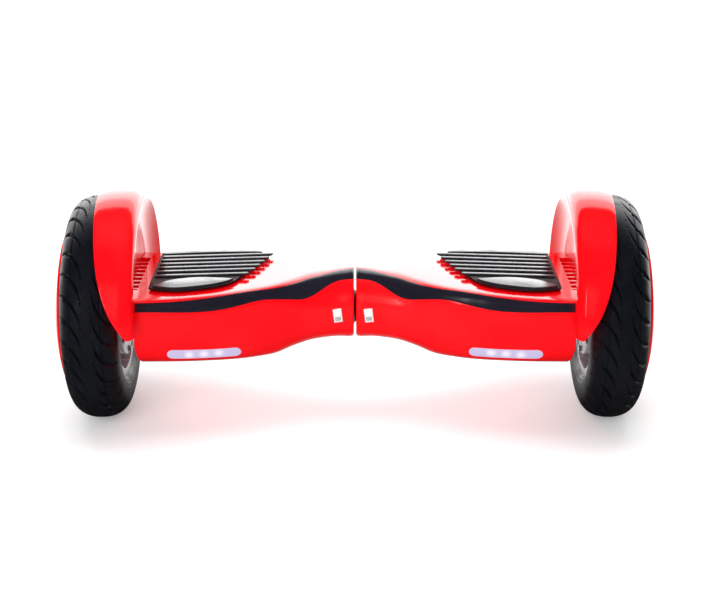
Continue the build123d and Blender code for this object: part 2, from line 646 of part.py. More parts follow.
def rim():
    """Rim bed with flanges, spokes and the motor drum."""
    bed_outer = BEAD_RADIUS - FIT_GAP
    bed_inner = BEAD_RADIUS - RIM_WALL
    flange_top = BEAD_RADIUS + BEAD_HEIGHT - 1.5
    wheel = ring_x(bed_outer, bed_inner, BEAD_IN - FLANGE_WALL, BEAD_OUT + FLANGE_WALL)
    wheel += ring_x(flange_top, bed_inner, BEAD_IN - FLANGE_WALL, BEAD_IN - FIT_GAP)
    wheel += ring_x(flange_top, bed_inner, BEAD_OUT + FIT_GAP, BEAD_OUT + FLANGE_WALL)
    wheel += ring_x(DRUM_RADIUS, DRUM_RADIUS - DRUM_WALL, DRUM_IN, DRUM_OUT)
    wheel += ring_x(DRUM_RADIUS + COVER_LIP, DRUM_RADIUS - DRUM_WALL, DRUM_IN, DRUM_IN + 4)
    wheel += ring_x(DRUM_RADIUS, BEARING_RADIUS + FIT_GAP, DRUM_OUT - 3, DRUM_OUT)
    wheel += ring_x(BEARING_RADIUS + BEARING_SEAT_WALL, BEARING_RADIUS + FIT_GAP, DRUM_OUT - 3,
                    DRUM_OUT - 3 + BEARING_WIDTH)
    reach = bed_inner - DRUM_RADIUS + 2.0
    for index in range(SPOKE_COUNT):
        for lean in (-1, 1):
            spoke = Pos(WHEEL_CENTRE, 0, DRUM_RADIUS - 1 + reach / 2) * Box(SPOKE_DEPTH, SPOKE_WIDTH, reach)
            foot = Pos(0, 0, DRUM_RADIUS)
            leaned = foot * Rot(lean * SPOKE_SWING, 0, 0) * foot.inverse() * spoke
            wheel += Rot(360.0 * (index + 0.5) / SPOKE_COUNT, 0, 0) * leaned
    wheel -= rod_z(3.0 + FIT_GAP, DRUM_RADIUS + 4, BEAD_RADIUS + 5, WHEEL_CENTRE, 0)
    for x, y, z in cover_screw_places():
        wheel -= rod_x(SCREW_RADIUS + FIT_GAP, DRUM_IN - 1, DRUM_IN + 4, y, z)
    return wheel


def cover_screw_places():
    """Screws of the motor cover."""
    radius = DRUM_RADIUS + COVER_LIP - 3.4
    places = []
    for index in range(COVER_SCREW_COUNT):
        angle = 2 * math.pi * (index + 0.5) / COVER_SCREW_COUNT
        places.append((COVER_IN, radius * math.cos(angle), radius * math.sin(angle)))
    return places


def motor_cover():
    cover = ring_x(DRUM_RADIUS + COVER_LIP, BEARING_RADIUS + FIT_GAP, COVER_IN, DRUM_IN)
    cover += ring_x(BEARING_RADIUS + BEARING_SEAT_WALL, BEARING_RADIUS + FIT_GAP, COVER_IN,
                    COVER_IN + BEARING_WIDTH)
    for x, y, z in cover_screw_places():
        cover -= rod_x(SCREW_RADIUS + FIT_GAP, COVER_IN - 1, DRUM_IN + 1, y, z)
    return cover


def cover_screws():
    screws = []
    for x, y, z in cover_screw_places():
        screws.append(rod_x(SCREW_HEAD_RADIUS - 0.4, x - SCREW_HEAD_HEIGHT, x, y, z)
                      + rod_x(SCREW_RADIUS, x, x + 7, y, z))
    return group(screws)


def bearings():
    """Inner and outer ball bearings as closed rings."""
    places = (COVER_IN, DRUM_OUT - 3)
    return group([ring_x(BEARING_RADIUS, AXLE_BEARING_RADIUS + RUN_GAP, x, x + BEARING_WIDTH) for x in places])


def magnets():
    """Magnets around the drum's inside."""
    outer = DRUM_RADIUS - DRUM_WALL - FIT_GAP
    ring = ring_x(outer, outer - MAGNET_THICKNESS, WHEEL_CENTRE - MAGNET_LENGTH / 2,
                  WHEEL_CENTRE + MAGNET_LENGTH / 2)
    width = 2 * math.pi * outer / MAGNET_COUNT - 2.0
    pieces = []
    for index in range(MAGNET_COUNT):
        bar = span_box(0, 400, -width / 2, width / 2, 0, outer + 5)
        pieces.append((Rot(360.0 * index / MAGNET_COUNT, 0, 0) * bar) & ring)
    return group(pieces)


def hub_cap():
    """Domed outer cap with the ring that seats on the rim flange."""
    crown = CAP_EDGE + HUB_CAP_RISE
    wall = HUB_CAP_WALL
    radius = HUB_CAP_RADIUS
    back = CAP_EDGE - 2.2
    bow = 0.745 * HUB_CAP_RISE
    seat = BEAD_OUT + FLANGE_WALL
    ring_outer = BEAD_RADIUS + BEAD_HEIGHT - 2.0
    ring_inner = ring_outer - 4.0
    inner_rise = HUB_CAP_RISE * (1 - (ring_inner / radius) ** 2) - wall
    edges = [
        Line((back, radius), (CAP_EDGE, radius)),
        ThreePointArc((CAP_EDGE, radius), (CAP_EDGE + bow, radius * 0.5), (crown, HUB_CAP_EYE)),
        Line((crown, HUB_CAP_EYE), (crown - wall, HUB_CAP_EYE)),
        ThreePointArc((crown - wall, HUB_CAP_EYE), (CAP_EDGE + bow - wall, radius * 0.5),
                      (CAP_EDGE + inner_rise, ring_inner)),
        Line((CAP_EDGE + inner_rise, ring_inner), (seat, ring_inner)),
        Line((seat, ring_inner), (seat, ring_outer)),
        Line((seat, ring_outer), (back, ring_outer)),
        Line((back, ring_outer), (back, radius)),
    ]
    return turned(edges) + rod_x(HUB_CAP_EYE + 0.5, crown - wall, crown)


def axle():
    """Hollow axle: thick in the clamp, thin through the motor's bearings."""
    step = COVER_IN - 1.5
    bar = rod_x(AXLE_RADIUS, CLAMP_START - 6, step) + rod_x(AXLE_BEARING_RADIUS, step - 1, DRUM_OUT + 12)
    return bar - rod_x(AXLE_BORE_RADIUS, CLAMP_START - 10, step)


def axle_nut():
    x0 = DRUM_OUT - 3 + BEARING_WIDTH + MOVE_GAP
    prism = extrude(RegularPolygon(9.5, 6), NUT_HEIGHT)
    return Pos(x0, 0, 0) * Rot(0, 90, 0) * prism - rod_x(AXLE_BEARING_RADIUS + RUN_GAP, x0 - 1, x0 + 10)


def stator():
    """Slotted core with its windings, fixed on the axle."""
    outer = DRUM_RADIUS - DRUM_WALL - FIT_GAP - MAGNET_THICKNESS - AIR_GAP
    x0 = WHEEL_CENTRE - MAGNET_LENGTH / 2 + 1
    x1 = WHEEL_CENTRE + MAGNET_LENGTH / 2 - 1
    core = ring_x(outer, AXLE_BEARING_RADIUS + RUN_GAP, x0, x1)
    for index in range(SLOT_COUNT):
        slot = span_box(x0 - 1, x1 + 1, -1.5, 1.5, 26.0, outer + 2)
        core -= Rot(360.0 * index / SLOT_COUNT, 0, 0) * slot
    return core


# ---------------------------------------------------------------- frame fittings and electronics

def axle_clamp():
    block = span_box(CLAMP_START, CLAMP_END, -CLAMP_HALF_WIDTH, CLAMP_HALF_WIDTH, MOVE_GAP, CLAMP_HEIGHT)
    block -= rod_x(AXLE_RADIUS + FIT_GAP, CLAMP_START - 5, CLAMP_END + 5)
    for x, y in clamp_bolt_places():
        block -= rod_z(CLAMP_BOLT_RADIUS + FIT_GAP, -5, CLAMP_HEIGHT + 5, x, y)
    return block


def clamp_bolts():
    bolts = []
    for x, y in clamp_bolt_places():
        shank = rod_z(CLAMP_BOLT_RADIUS, -CLAMP_HEIGHT + 5, CLAMP_HEIGHT, x, y)
        bolts.append(shank + rod_z(4.4, CLAMP_HEIGHT, CLAMP_HEIGHT + 4.5, x, y))
    return group(bolts)


def shell_screws(platform):
    screws = []
    for x, y in screw_places():
        seat = platform.screw_face(x)
        screws.append(rod_z(SCREW_HEAD_RADIUS, seat - SCREW_HEAD_HEIGHT, seat, x, y)
                      + rod_z(SCREW_RADIUS, seat, PLATE_BOTTOM - 4, x, y))
    for x, y in deck_post_places():
        screws.append(rod_z(SCREW_HEAD_RADIUS, PLATE_BOTTOM - SCREW_HEAD_HEIGHT, PLATE_BOTTOM, x, y)
                      + rod_z(SCREW_RADIUS, PLATE_BOTTOM, PLATE_TOP + 10, x, y))
    return group(screws)


def lamp_lens(platform):
    """Clear lamp cover, flush with the front of the bottom shell."""
    return (platform.outer - platform.inner) & lamp_bar(FIT_GAP) & span_box(0, 400, -200, 0, -90, 0)


def lamp_board():
    """Small board with three light emitters behind the lens."""
    face = -side_half_width(LAMP_X - LAMP_LENGTH / 2, LAMP_LEVEL, SHELL_WALL) + 8.0
    board = span_box(LAMP_X - 33, LAMP_X + 33, face, face + BOARD_THICKNESS, LAMP_LEVEL - 1, LAMP_LEVEL + 9)
    for index in (-1, 0, 1):
        board += span_box(LAMP_X + 16 * index - 2.5, LAMP_X + 16 * index + 2.5, face - 1.6, face + 0.5,
                          LAMP_LEVEL + 1, LAMP_LEVEL + 6)
    return board


def gyro_board():
    """Balance sensor board with the switches that the pad's plungers press."""
    middle = (BAY_START + BAY_END) / 2
    half_length, half_width = GYRO_BOARD_LENGTH / 2, GYRO_BOARD_WIDTH / 2
    top = GYRO_BOARD_HEIGHT + BOARD_THICKNESS
    board = span_box(middle - half_length, middle + half_length, -half_width, half_width, GYRO_BOARD_HEIGHT, top)
    for x, y in plunger_places():
        board += span_box(x - 4, x + 4, y - 4, y + 4, top - 0.5, top + SWITCH_HEIGHT)
    return board


def battery_pack():
    low = -BELLY_DROP + SHELL_WALL + BATTERY_GAP
    high = PLATE_BOTTOM - BATTERY_GAP
    half = min(side_half_width(x, low, SHELL_WALL + BATTERY_GAP) for x in (BAY_START + 2, BAY_END))
    pack = span_box(BAY_START + 2, BAY_END, -half, half, low, high)
    return fillet(pack.edges().filter_by(Axis.X), 4.0)


def main_board():
    """Controller board hung under the frame plate, with its heat sink and capacitors."""
    top = PLATE_BOTTOM - 9.0
    half = min(side_half_width(x, top - 20, SHELL_WALL + BATTERY_GAP) for x in (BAY_START + 4, BAY_END))
    board = span_box(BAY_START + 4, BAY_END, -half, half, top - BOARD_THICKNESS, top)
    for x in (BAY_START + 12, BAY_END - 8):
        for y in (8 - half, half - 8):
            board += rod_z(3.0, top - 0.5, PLATE_BOTTOM, x, y)
    board += span_box(BAY_START + 26, BAY_END - 22, -12, 12, top - 0.5, PLATE_BOTTOM - 1)
    for index in range(3):
        board += rod_z(6.0, top - 15, top - 0.5, BAY_START + 26 + 18 * index, 14 - half)
    return board


def motor_cable():
    """Motor lead from the hollow axle to the frame's opening."""
    start = CLAMP_START - 6 - FIT_GAP
    points = [(start, 0, 0), (start - 16, 0, 0), (start - 34, -8, 3), (start - 50, -8, 3)]
    route = FilletPolyline(*points, radius=14.0)
    section = Plane(origin=points[0], z_dir=(-1, 0, 0)) * Circle(CABLE_RADIUS)
    return sweep(section, path=route)


def pivot_shaft():
    """Steel shaft fixed in the left frame, with a groove for its ring on the right."""
    bar = rod_x(SHAFT_RADIUS, 2.0 - SHAFT_REACH, SHAFT_REACH)
    groove = BOSS_END + BUSH_FLANGE + RUN_GAP
    return bar - ring_x(SHAFT_RADIUS + 1, SHAFT_RADIUS - 1.5, groove, groove + RING_WIDTH + RUN_GAP)


def shaft_ring():
    """Retaining ring, open at the bottom."""
    start = BOSS_END + BUSH_FLANGE + 2 * RUN_GAP
    ring = ring_x(SHAFT_RADIUS + 4, SHAFT_RADIUS - 1.5 + RUN_GAP, start, start + RING_WIDTH - RUN_GAP)
    return ring - span_box(start - 1, start + 5, -2.5, 2.5, -30, 0)


def pivot_bushes():
    """Flanged bushes in the right frame: one at the gap, one at the boss's end."""
    outer = SHAFT_RADIUS + BUSH_WALL
    inner = SHAFT_RADIUS + RUN_GAP
    near = ring_x(outer, inner, HALF_GAP, 20) + ring_x(BOSS_RADIUS - 2, inner, HALF_GAP - BUSH_FLANGE, HALF_GAP)
    far = ring_x(outer, inner, BOSS_END - 18, BOSS_END) + ring_x(BOSS_RADIUS - 2, inner, BOSS_END,
                                                                 BOSS_END + BUSH_FLANGE)
    return group([near, far])


# ---------------------------------------------------------------- foot pad

def pad_point(from_edge, y):
    """Place on the pad from its outer edge."""
    return PLATFORM_LENGTH - PAD_EDGE_INSET - from_edge, y


def on_deck(face, low, high):
    """Extrude a plan face between two heights above the sloping deck."""
    raised = extrude(face, high - low, dir=(0, 0, 1))
    hinge_x = PLATFORM_LENGTH
    tilt = Pos(hinge_x, 0, DECK_RISE) * Rot(0, DECK_SLOPE, 0) * Pos(-hinge_x, 0, low)
    return tilt * raised


def flat(points):
    return [(x, y, 0) for x, y in points]


PAD_FRONT = [(96.0, -40.0), (86.0, -54.0), (65.0, -65.5), (31.0, -72.0), (2.0, -62.0)]
PAD_BACK = [(2.0, 70.0), (50.0, 71.5), (105.0, 69.0), (129.0, 52.0)]
RIDGE_FRONTS = (-26.0, -10.6, 3.6, 17.5, 32.0, 45.7)
RIDGE_ENDS = (106.6, 113.3, 118.1, 122.5, 126.7, 130.4)


def pad_base_face():
    """Plan of the whole pad: bowed front, slanted inner edge, straight outer edge."""
    front = flat([pad_point(*place) for place in PAD_FRONT])
    back = flat([pad_point(*place) for place in PAD_BACK])
    outer_x = pad_point(0, 0)[0]
    outer_front = (outer_x, front[-1][1] + 2, 0)
    outer_back = (outer_x, back[0][1] - 2, 0)
    edges = [Spline(*front), Line(front[-1], outer_front), Line(outer_front, outer_back),
             Line(outer_back, back[0]), Spline(*back), Line(back[-1], front[0])]
    return Face(Wire(edges))


def foot_pad():
    low = PAD_TRAVEL + MOVE_GAP
    top = low + PAD_BASE
    pad = on_deck(pad_base_face(), low, top)
    for front, end in zip(RIDGE_FRONTS, RIDGE_ENDS):
        corners = [pad_point(4.0, front), pad_point(4.0, front + PAD_RIDGE_WIDTH),
                   pad_point(end + 1.6, front + PAD_RIDGE_WIDTH), pad_point(end, front)]
        pad += on_deck(Face(Wire(polygon_edges(flat(corners)))), top - 0.5, top + PAD_RIDGE)
    crescent_front = flat([pad_point(*place) for place in [(93.0, -42.0), (84.0, -52.0), (64.0, -62.5),
                                                           (31.0, -69.0), (5.0, -60.0)]])
    crescent_back = flat([pad_point(*place) for place in [(5.0, -60.0), (24.0, -41.0), (55.0, -34.0),
                                                          (93.0, -42.0)]])
    lens_face = Face(Wire([Spline(*crescent_front), Spline(*crescent_back)]))
    pad += on_deck(lens_face, top - 0.5, top + PAD_RIDGE)
    rear_front = flat([pad_point(*place) for place in [(4.0, 58.0), (60.0, 60.0), (120.0, 56.5)]])
    rear_back = flat([pad_point(*place) for place in [(120.0, 56.5), (103.0, 66.5), (50.0, 69.5), (4.0, 68.0)]])
    rear_face = Face(Wire([Spline(*rear_front), Spline(*rear_back), Line(rear_back[-1], rear_front[0])]))
    pad += on_deck(rear_face, top - 0.5, top + PAD_RIDGE)
    return pad


def pad_plungers():
    """Pins under the pad that reach the switches."""
    pins = []
    tip = GYRO_BOARD_HEIGHT + BOARD_THICKNESS + SWITCH_HEIGHT + PAD_TRAVEL + MOVE_GAP
    for x, y in plunger_places():
        high = deck_height(x) + PAD_TRAVEL + MOVE_GAP - 0.02 - PLUNGER_RADIUS * math.tan(math.radians(DECK_SLOPE))
        pins.append(rod_z(PLUNGER_RADIUS, tip, high, x, y))
    return group(pins)


# ---------------------------------------------------------------- button and charging port

def rear_face(x):
    """Depth of the platform's rear at x."""
    return section_values(x)[0]


def power_button():
    """Round button in the rear of the right half, with a collar that keeps it in."""
    outer = rear_face(BUTTON_X) + BUTTON_PROUD
    back = outer - 14.0
    stem = rod_y(BUTTON_RADIUS, back, outer, BUTTON_X, PORT_LEVEL)
    stem = fillet(stem.edges().group_by(Axis.Y)[-1], 1.0)
    return stem + rod_y(BUTTON_RADIUS + BUTTON_COLLAR, back, back + 3.0, BUTTON_X, PORT_LEVEL)


def port_face():
    return rear_face(PORT_X) + 0.8


def charge_port():
    face = port_face() + PORT_FLANGE
    body = rod_y(PORT_RADIUS, face - PORT_BODY, face, PORT_X, PORT_LEVEL)
    body += rod_y(PORT_FLANGE_RADIUS, port_face(), face, PORT_X, PORT_LEVEL)
    hinge_y, hinge_z = hinge_line()
    for side in (-1, 1):
        x = PORT_X + side * 7.5
        lug = rod_x(HINGE_RADIUS, x - 2, x + 2, hinge_y, hinge_z)
        lug += span_box(x - 2, x + 2, port_face(), hinge_y, hinge_z - 4, hinge_z + HINGE_RADIUS)
        body += lug
    body += rod_x(HINGE_PIN_RADIUS, PORT_X - 6, PORT_X + 6, hinge_y, hinge_z)
    return body - rod_y(PORT_BORE_RADIUS, face - PORT_BORE_DEPTH, face + 5, PORT_X, PORT_LEVEL)


def hinge_line():
    """Hinge of the port's cap: depth and height."""
    return port_face() + PORT_FLANGE + HINGE_RADIUS + 0.3, PORT_LEVEL + PORT_FLANGE_RADIUS + HINGE_RADIUS


def charge_port_cap():
    face = port_face() + PORT_FLANGE + 0.3
    hinge_y, hinge_z = hinge_line()
    cap = rod_y(PORT_FLANGE_RADIUS - 1.0, face, face + CAP_THICKNESS, PORT_X, PORT_LEVEL)
    cap += rod_x(HINGE_RADIUS, PORT_X - 5, PORT_X + 5, hinge_y, hinge_z)
    cap += span_box(PORT_X - 5, PORT_X + 5, face + 0.2, face + CAP_THICKNESS, PORT_LEVEL + 9, hinge_z)
    return cap - rod_x(HINGE_PIN_RADIUS + RUN_GAP, PORT_X - 10, PORT_X + 10, hinge_y, hinge_z)


# ---------------------------------------------------------------- assembly

AXLE_HEIGHT = TYRE_RADIUS


def save(name, shape, side=1):
    """Set a piece at its height, mirror it for the left half and write its file."""
    placed = Pos(0, 0, AXLE_HEIGHT) * shape
    if side < 0:
        placed = mirror(placed, about=Plane.YZ)
    solids = placed.solids()
    result = solids[0] if len(solids) == 1 else Compound(children=list(solids))
    result.label = name
    export_step(result, f"parts/{name}.step")


def main():
    platform = Platform()
    front_trim, rear_trim = platform.trims()
    top = platform.top_shell()
    trays = {-1: platform.bottom_shell(False), 1: platform.bottom_shell(True)}
    frames = {
        -1: platform.frame(SHAFT_RADIUS + FIT_GAP / 2, BUSH_FLANGE - HALF_GAP + RUN_GAP),
        1: platform.frame(SHAFT_RADIUS + BUSH_WALL + RUN_GAP, HALF_GAP),
    }
    shared = {
        "top_shell": top,
        "front_trim": front_trim,
        "rear_trim": rear_trim,
        "fender": arch(),
        "axle_clamp": axle_clamp(),
        "clamp_bolts": clamp_bolts(),
        "shell_screws": shell_screws(platform),
        "headlight_lens": lamp_lens(platform),
        "headlight_board": lamp_board(),
        "gyro_board": gyro_board(),
        "axle": axle(),
        "stator": stator(),
        "axle_nut": axle_nut(),
        "motor_cable": motor_cable(),
        "tyre": tyre(),
        "inner_tube": inner_tube(),
        "rim": rim(),
        "magnets": magnets(),
        "motor_cover": motor_cover(),
        "cover_screws": cover_screws(),
        "bearings": bearings(),
        "hub_cap": hub_cap(),
        "foot_pad": foot_pad(),
        "pad_plungers": pad_plungers(),
    }
    for side, word in ((-1, "left"), (1, "right")):
        for name, shape in shared.items():
            save(f"{word}_{name}", shape, side)
        save(f"{word}_bottom_shell", trays[side], side)
        save(f"{word}_chassis", frames[side], side)
    save("battery_pack", battery_pack(), -1)
    save("main_board", main_board())
    save("pivot_shaft", pivot_shaft())
    save("shaft_retaining_ring", shaft_ring())
    save("pivot_bushes", pivot_bushes())
    save("power_button", power_button())
    save("charge_port", charge_port())
    save("charge_port_cap", charge_port_cap())


main()
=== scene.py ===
"""Looks of a self balancing board: shells, carved tyres, ribbed foot pads, lamps and small fittings.

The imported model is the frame. Lengths are in metres, X runs along the board and -Y is its front.
"""
import json
import logging
import math
from dataclasses import dataclass, field
from enum import Enum

import bmesh
import bpy
import numpy as np
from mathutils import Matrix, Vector
from mathutils.bvhtree import BVHTree


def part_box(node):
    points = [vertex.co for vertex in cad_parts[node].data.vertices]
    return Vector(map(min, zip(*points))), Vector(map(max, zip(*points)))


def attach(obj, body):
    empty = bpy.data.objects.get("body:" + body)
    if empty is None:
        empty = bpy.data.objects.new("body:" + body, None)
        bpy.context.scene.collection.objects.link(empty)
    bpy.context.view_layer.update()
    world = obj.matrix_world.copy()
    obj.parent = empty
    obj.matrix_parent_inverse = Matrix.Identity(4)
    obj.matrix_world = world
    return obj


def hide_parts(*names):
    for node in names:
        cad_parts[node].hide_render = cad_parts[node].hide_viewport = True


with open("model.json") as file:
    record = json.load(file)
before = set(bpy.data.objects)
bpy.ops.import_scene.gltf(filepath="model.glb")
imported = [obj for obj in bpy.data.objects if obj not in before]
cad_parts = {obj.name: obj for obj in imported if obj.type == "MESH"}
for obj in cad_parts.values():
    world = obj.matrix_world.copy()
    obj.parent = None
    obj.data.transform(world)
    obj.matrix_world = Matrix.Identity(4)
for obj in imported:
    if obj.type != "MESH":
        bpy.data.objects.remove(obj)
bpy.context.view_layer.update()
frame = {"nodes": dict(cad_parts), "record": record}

LOG = logging.getLogger("board")
MM = 0.001
Colour = tuple[float, float, float]
Point = tuple[float, float, float]
Pair = tuple[float, float]
Plan = tuple[Pair, ...]
Tree = bpy.types.NodeTree
Socket = bpy.types.NodeSocket
Value = float | tuple[float, ...] | Socket
WHITE = (1.0, 1.0, 1.0, 1.0)
BLACK = (0.0, 0.0, 0.0, 1.0)


class Side(Enum):
    """The two mirrored halves."""

    LEFT = -1
    RIGHT = 1

    @property
    def word(self) -> str:
        """Name of the half as its nodes start."""
        return self.name.lower()

    def node(self, piece: str) -> str:
        """Name of this half's node for a piece."""
        return f"{self.word}_{piece}"


class Surface(Enum):
    """How a finish is coloured over the surface."""

    PLAIN = "plain"
    GLOWING = "glowing"
    STICKER = "sticker"


# ---------------------------------------------------------------- finishes

@dataclass(frozen=True)
class Finish:
    """One material's look.

    Attributes:
        colour: main colour, linear.
        second: colour of the slow variation.
        worn: colour of the rubbed edges.
        roughness: middle of the roughness.
        swing: how far the roughness varies.
        metallic: 0 or 1.
        coat: weight of the clear coat.
        grain: size of the fine grain.
        relief: height of the fine grain.
        mottle: size of the slow variation.
        blend: how strongly the second colour shows.
        wear: how strongly edges are rubbed.
        soft_edge: radius of the rounding on sharp edges.
        surface: how the colour is laid on.
    """

    colour: Colour
    second: Colour
    worn: Colour
    roughness: float
    swing: float = 0.05
    metallic: float = 0.0
    coat: float = 0.0
    grain: float = 0.6 * MM
    relief: float = 0.01 * MM
    mottle: float = 40 * MM
    blend: float = 0.5
    wear: float = 0.15
    soft_edge: float = 0.5 * MM
    surface: Surface = Surface.PLAIN


RED = Finish((0.92, 0.0016, 0.006), (0.82, 0.0014, 0.005), (0.94, 0.05, 0.06), 0.17, 0.05, coat=0.35,
             grain=0.9 * MM, relief=0.003 * MM, mottle=90 * MM, blend=0.35, wear=0.12)
FINISHES: dict[str, Finish] = {
    "red_shell": RED,
    "black_trim": Finish((0.010, 0.009, 0.016), (0.016, 0.014, 0.024), (0.08, 0.08, 0.10), 0.26, 0.06,
                         coat=0.25, grain=0.8 * MM, relief=0.003 * MM, mottle=40 * MM, wear=0.1),
    "cast_frame": Finish((0.42, 0.43, 0.45), (0.34, 0.35, 0.37), (0.62, 0.63, 0.65), 0.48, 0.12, 0.9,
                         grain=1.2 * MM, relief=0.05 * MM, mottle=18 * MM, wear=0.5),
    "zinc_steel": Finish((0.52, 0.53, 0.55), (0.42, 0.43, 0.46), (0.70, 0.70, 0.72), 0.30, 0.10, 1.0,
                         grain=0.3 * MM, relief=0.01 * MM, mottle=5 * MM, wear=0.4),
    "lamp_lens": Finish((0.20, 0.18, 0.26), (0.16, 0.14, 0.24), (0.3, 0.3, 0.34), 0.18, 0.06, coat=0.3,
                        grain=1.6 * MM, relief=0.04 * MM, mottle=14 * MM, wear=0.0,
                        surface=Surface.GLOWING),
    "circuit_board": Finish((0.010, 0.09, 0.035), (0.006, 0.055, 0.022), (0.30, 0.26, 0.12), 0.38, 0.12,
                            grain=0.8 * MM, relief=0.03 * MM, mottle=6 * MM, wear=0.3),
    "axle_steel": Finish((0.46, 0.46, 0.48), (0.36, 0.36, 0.38), (0.70, 0.70, 0.72), 0.26, 0.08, 1.0,
                         grain=0.4 * MM, relief=0.01 * MM, mottle=9 * MM, wear=0.4),
    "stator_steel": Finish((0.30, 0.13, 0.05), (0.20, 0.16, 0.13), (0.55, 0.40, 0.25), 0.42, 0.12, 0.9,
                           grain=0.7 * MM, relief=0.08 * MM, mottle=4 * MM, wear=0.3),
    "cable_black": Finish((0.012, 0.012, 0.013), (0.02, 0.02, 0.021), (0.06, 0.06, 0.06), 0.5, 0.1,
                          grain=0.4 * MM, relief=0.02 * MM, mottle=8 * MM),
    "tyre_rubber": Finish((0.0030, 0.0042, 0.0075), (0.006, 0.0072, 0.0115), (0.028, 0.032, 0.040),
                          0.52, 0.10, grain=0.7 * MM, relief=0.03 * MM, mottle=22 * MM, blend=0.6, wear=0.45),
    "tube_rubber": Finish((0.015, 0.015, 0.015), (0.025, 0.025, 0.025), (0.05, 0.05, 0.05), 0.7, 0.1,
                          grain=0.5 * MM, relief=0.02 * MM, mottle=12 * MM),
    "rim_alloy": Finish((0.62, 0.63, 0.66), (0.52, 0.53, 0.56), (0.80, 0.80, 0.82), 0.28, 0.10, 0.35,
                        coat=0.2, grain=0.5 * MM, relief=0.015 * MM, mottle=12 * MM, wear=0.4),
    "magnet_steel": Finish((0.50, 0.50, 0.50), (0.40, 0.40, 0.42), (0.7, 0.7, 0.7), 0.22, 0.06, 1.0,
                           grain=0.4 * MM, relief=0.01 * MM, mottle=5 * MM),
    "bearing_steel": Finish((0.55, 0.55, 0.57), (0.45, 0.45, 0.48), (0.75, 0.75, 0.77), 0.24, 0.08, 1.0,
                            grain=0.3 * MM, relief=0.01 * MM, mottle=4 * MM, wear=0.3),
    "pad_rubber": Finish((0.016, 0.016, 0.021), (0.030, 0.030, 0.036), (0.17, 0.17, 0.19), 0.31, 0.08,
                         grain=0.5 * MM, relief=0.02 * MM, mottle=16 * MM, blend=0.6, wear=0.55,
                         soft_edge=0.9 * MM),
    # Pad base: a darker copy of the pad rubber. Its darker colour is painted shade for the floor between the
    # ridges; its matt roughness is the surface finish.
    "pad_floor_painted_shade": Finish((0.006, 0.006, 0.008), (0.010, 0.010, 0.012), (0.03, 0.03, 0.03), 0.72, 0.1,
                        grain=0.5 * MM, relief=0.03 * MM, mottle=12 * MM, blend=0.6, wear=0.2),
    "pad_plastic": Finish((0.04, 0.04, 0.042), (0.03, 0.03, 0.032), (0.1, 0.1, 0.1), 0.45, 0.1,
                          grain=0.4 * MM, relief=0.01 * MM, mottle=6 * MM),
    "battery_wrap": Finish((0.01, 0.05, 0.22), (0.008, 0.04, 0.17), (0.1, 0.16, 0.4), 0.32, 0.1, coat=0.2,
                           grain=2.0 * MM, relief=0.06 * MM, mottle=15 * MM),
    "bush_brass": Finish((0.20, 0.09, 0.04), (0.12, 0.06, 0.03), (0.45, 0.28, 0.12), 0.46, 0.1, 1.0,
                         grain=0.4 * MM, relief=0.02 * MM, mottle=5 * MM, wear=0.3),
    "port_plastic": Finish((0.014, 0.014, 0.016), (0.022, 0.022, 0.024), (0.08, 0.08, 0.085), 0.4, 0.1,
                           grain=0.5 * MM, relief=0.02 * MM, mottle=7 * MM, wear=0.3),
    "cap_rubber": Finish((0.016, 0.016, 0.017), (0.026, 0.026, 0.027), (0.07, 0.07, 0.07), 0.55, 0.1,
                         grain=0.5 * MM, relief=0.02 * MM, mottle=7 * MM, wear=0.3),
    "label": Finish((0.82, 0.82, 0.82), (0.74, 0.74, 0.75), (0.6, 0.6, 0.6), 0.42, 0.08, coat=0.2,
                    grain=0.4 * MM, relief=0.004 * MM, mottle=8 * MM, blend=0.3, wear=0.0,
                    surface=Surface.STICKER),
}


# ---------------------------------------------------------------- shader helpers

# A mix node has several inputs called A and B, so its colour ones are picked by number.
MIX_FIRST = 6
MIX_SECOND = 7
MIX_RESULT = 2


def feed(tree: Tree, socket: Socket, value: Value) -> None:
    """Link a socket to another one, or set its own value.

    Args:
        tree: the tree they are in.
        socket: the input.
        value: an output socket, or a plain value.
    """
    if isinstance(value, Socket):
        tree.links.new(value, socket)
    else:
        socket.default_value = value


def math_step(tree: Tree, operation: str, *values: Value) -> Socket:
    """One step of arithmetic.

    Args:
        tree: the tree it goes in.
        operation: what it works out.
        values: a socket or a number for each of its inputs.

    Returns:
        The result's socket.
    """
    node = tree.nodes.new("ShaderNodeMath")
    node.operation = operation
    for socket, value in zip(node.inputs, values):
        feed(tree, socket, value)
    return node.outputs[0]


def rescale(tree: Tree, value: Socket, source: Pair, target: Pair = (0.0, 1.0),
            easing: str = "LINEAR") -> Socket:
    """Map one range of values onto another.

    Args:
        tree: the tree it goes in.
        value: the socket that is mapped.
        source: the value's two ends.
        target: what they become.
        easing: how it goes from one end to the other.

    Returns:
        The mapped value's socket.
    """
    node = tree.nodes.new("ShaderNodeMapRange")
    node.interpolation_type = easing
    node.inputs["From Min"].default_value, node.inputs["From Max"].default_value = source
    node.inputs["To Min"].default_value, node.inputs["To Max"].default_value = target
    tree.links.new(value, node.inputs["Value"])
    return node.outputs["Result"]


def noise(tree: Tree, vector: Socket, scale: Value, **settings: float) -> Socket:
    """A noise pattern.

    Args:
        tree: the tree it goes in.
        vector: the place it is read at.
        scale: its scale.
        settings: its other inputs by name.

    Returns:
        The socket of its level.
    """
    node = tree.nodes.new("ShaderNodeTexNoise")
    tree.links.new(vector, node.inputs["Vector"])
    feed(tree, node.inputs["Scale"], scale)
    for label, value in settings.items():
        node.inputs[label].default_value = value
    return node.outputs["Fac"]


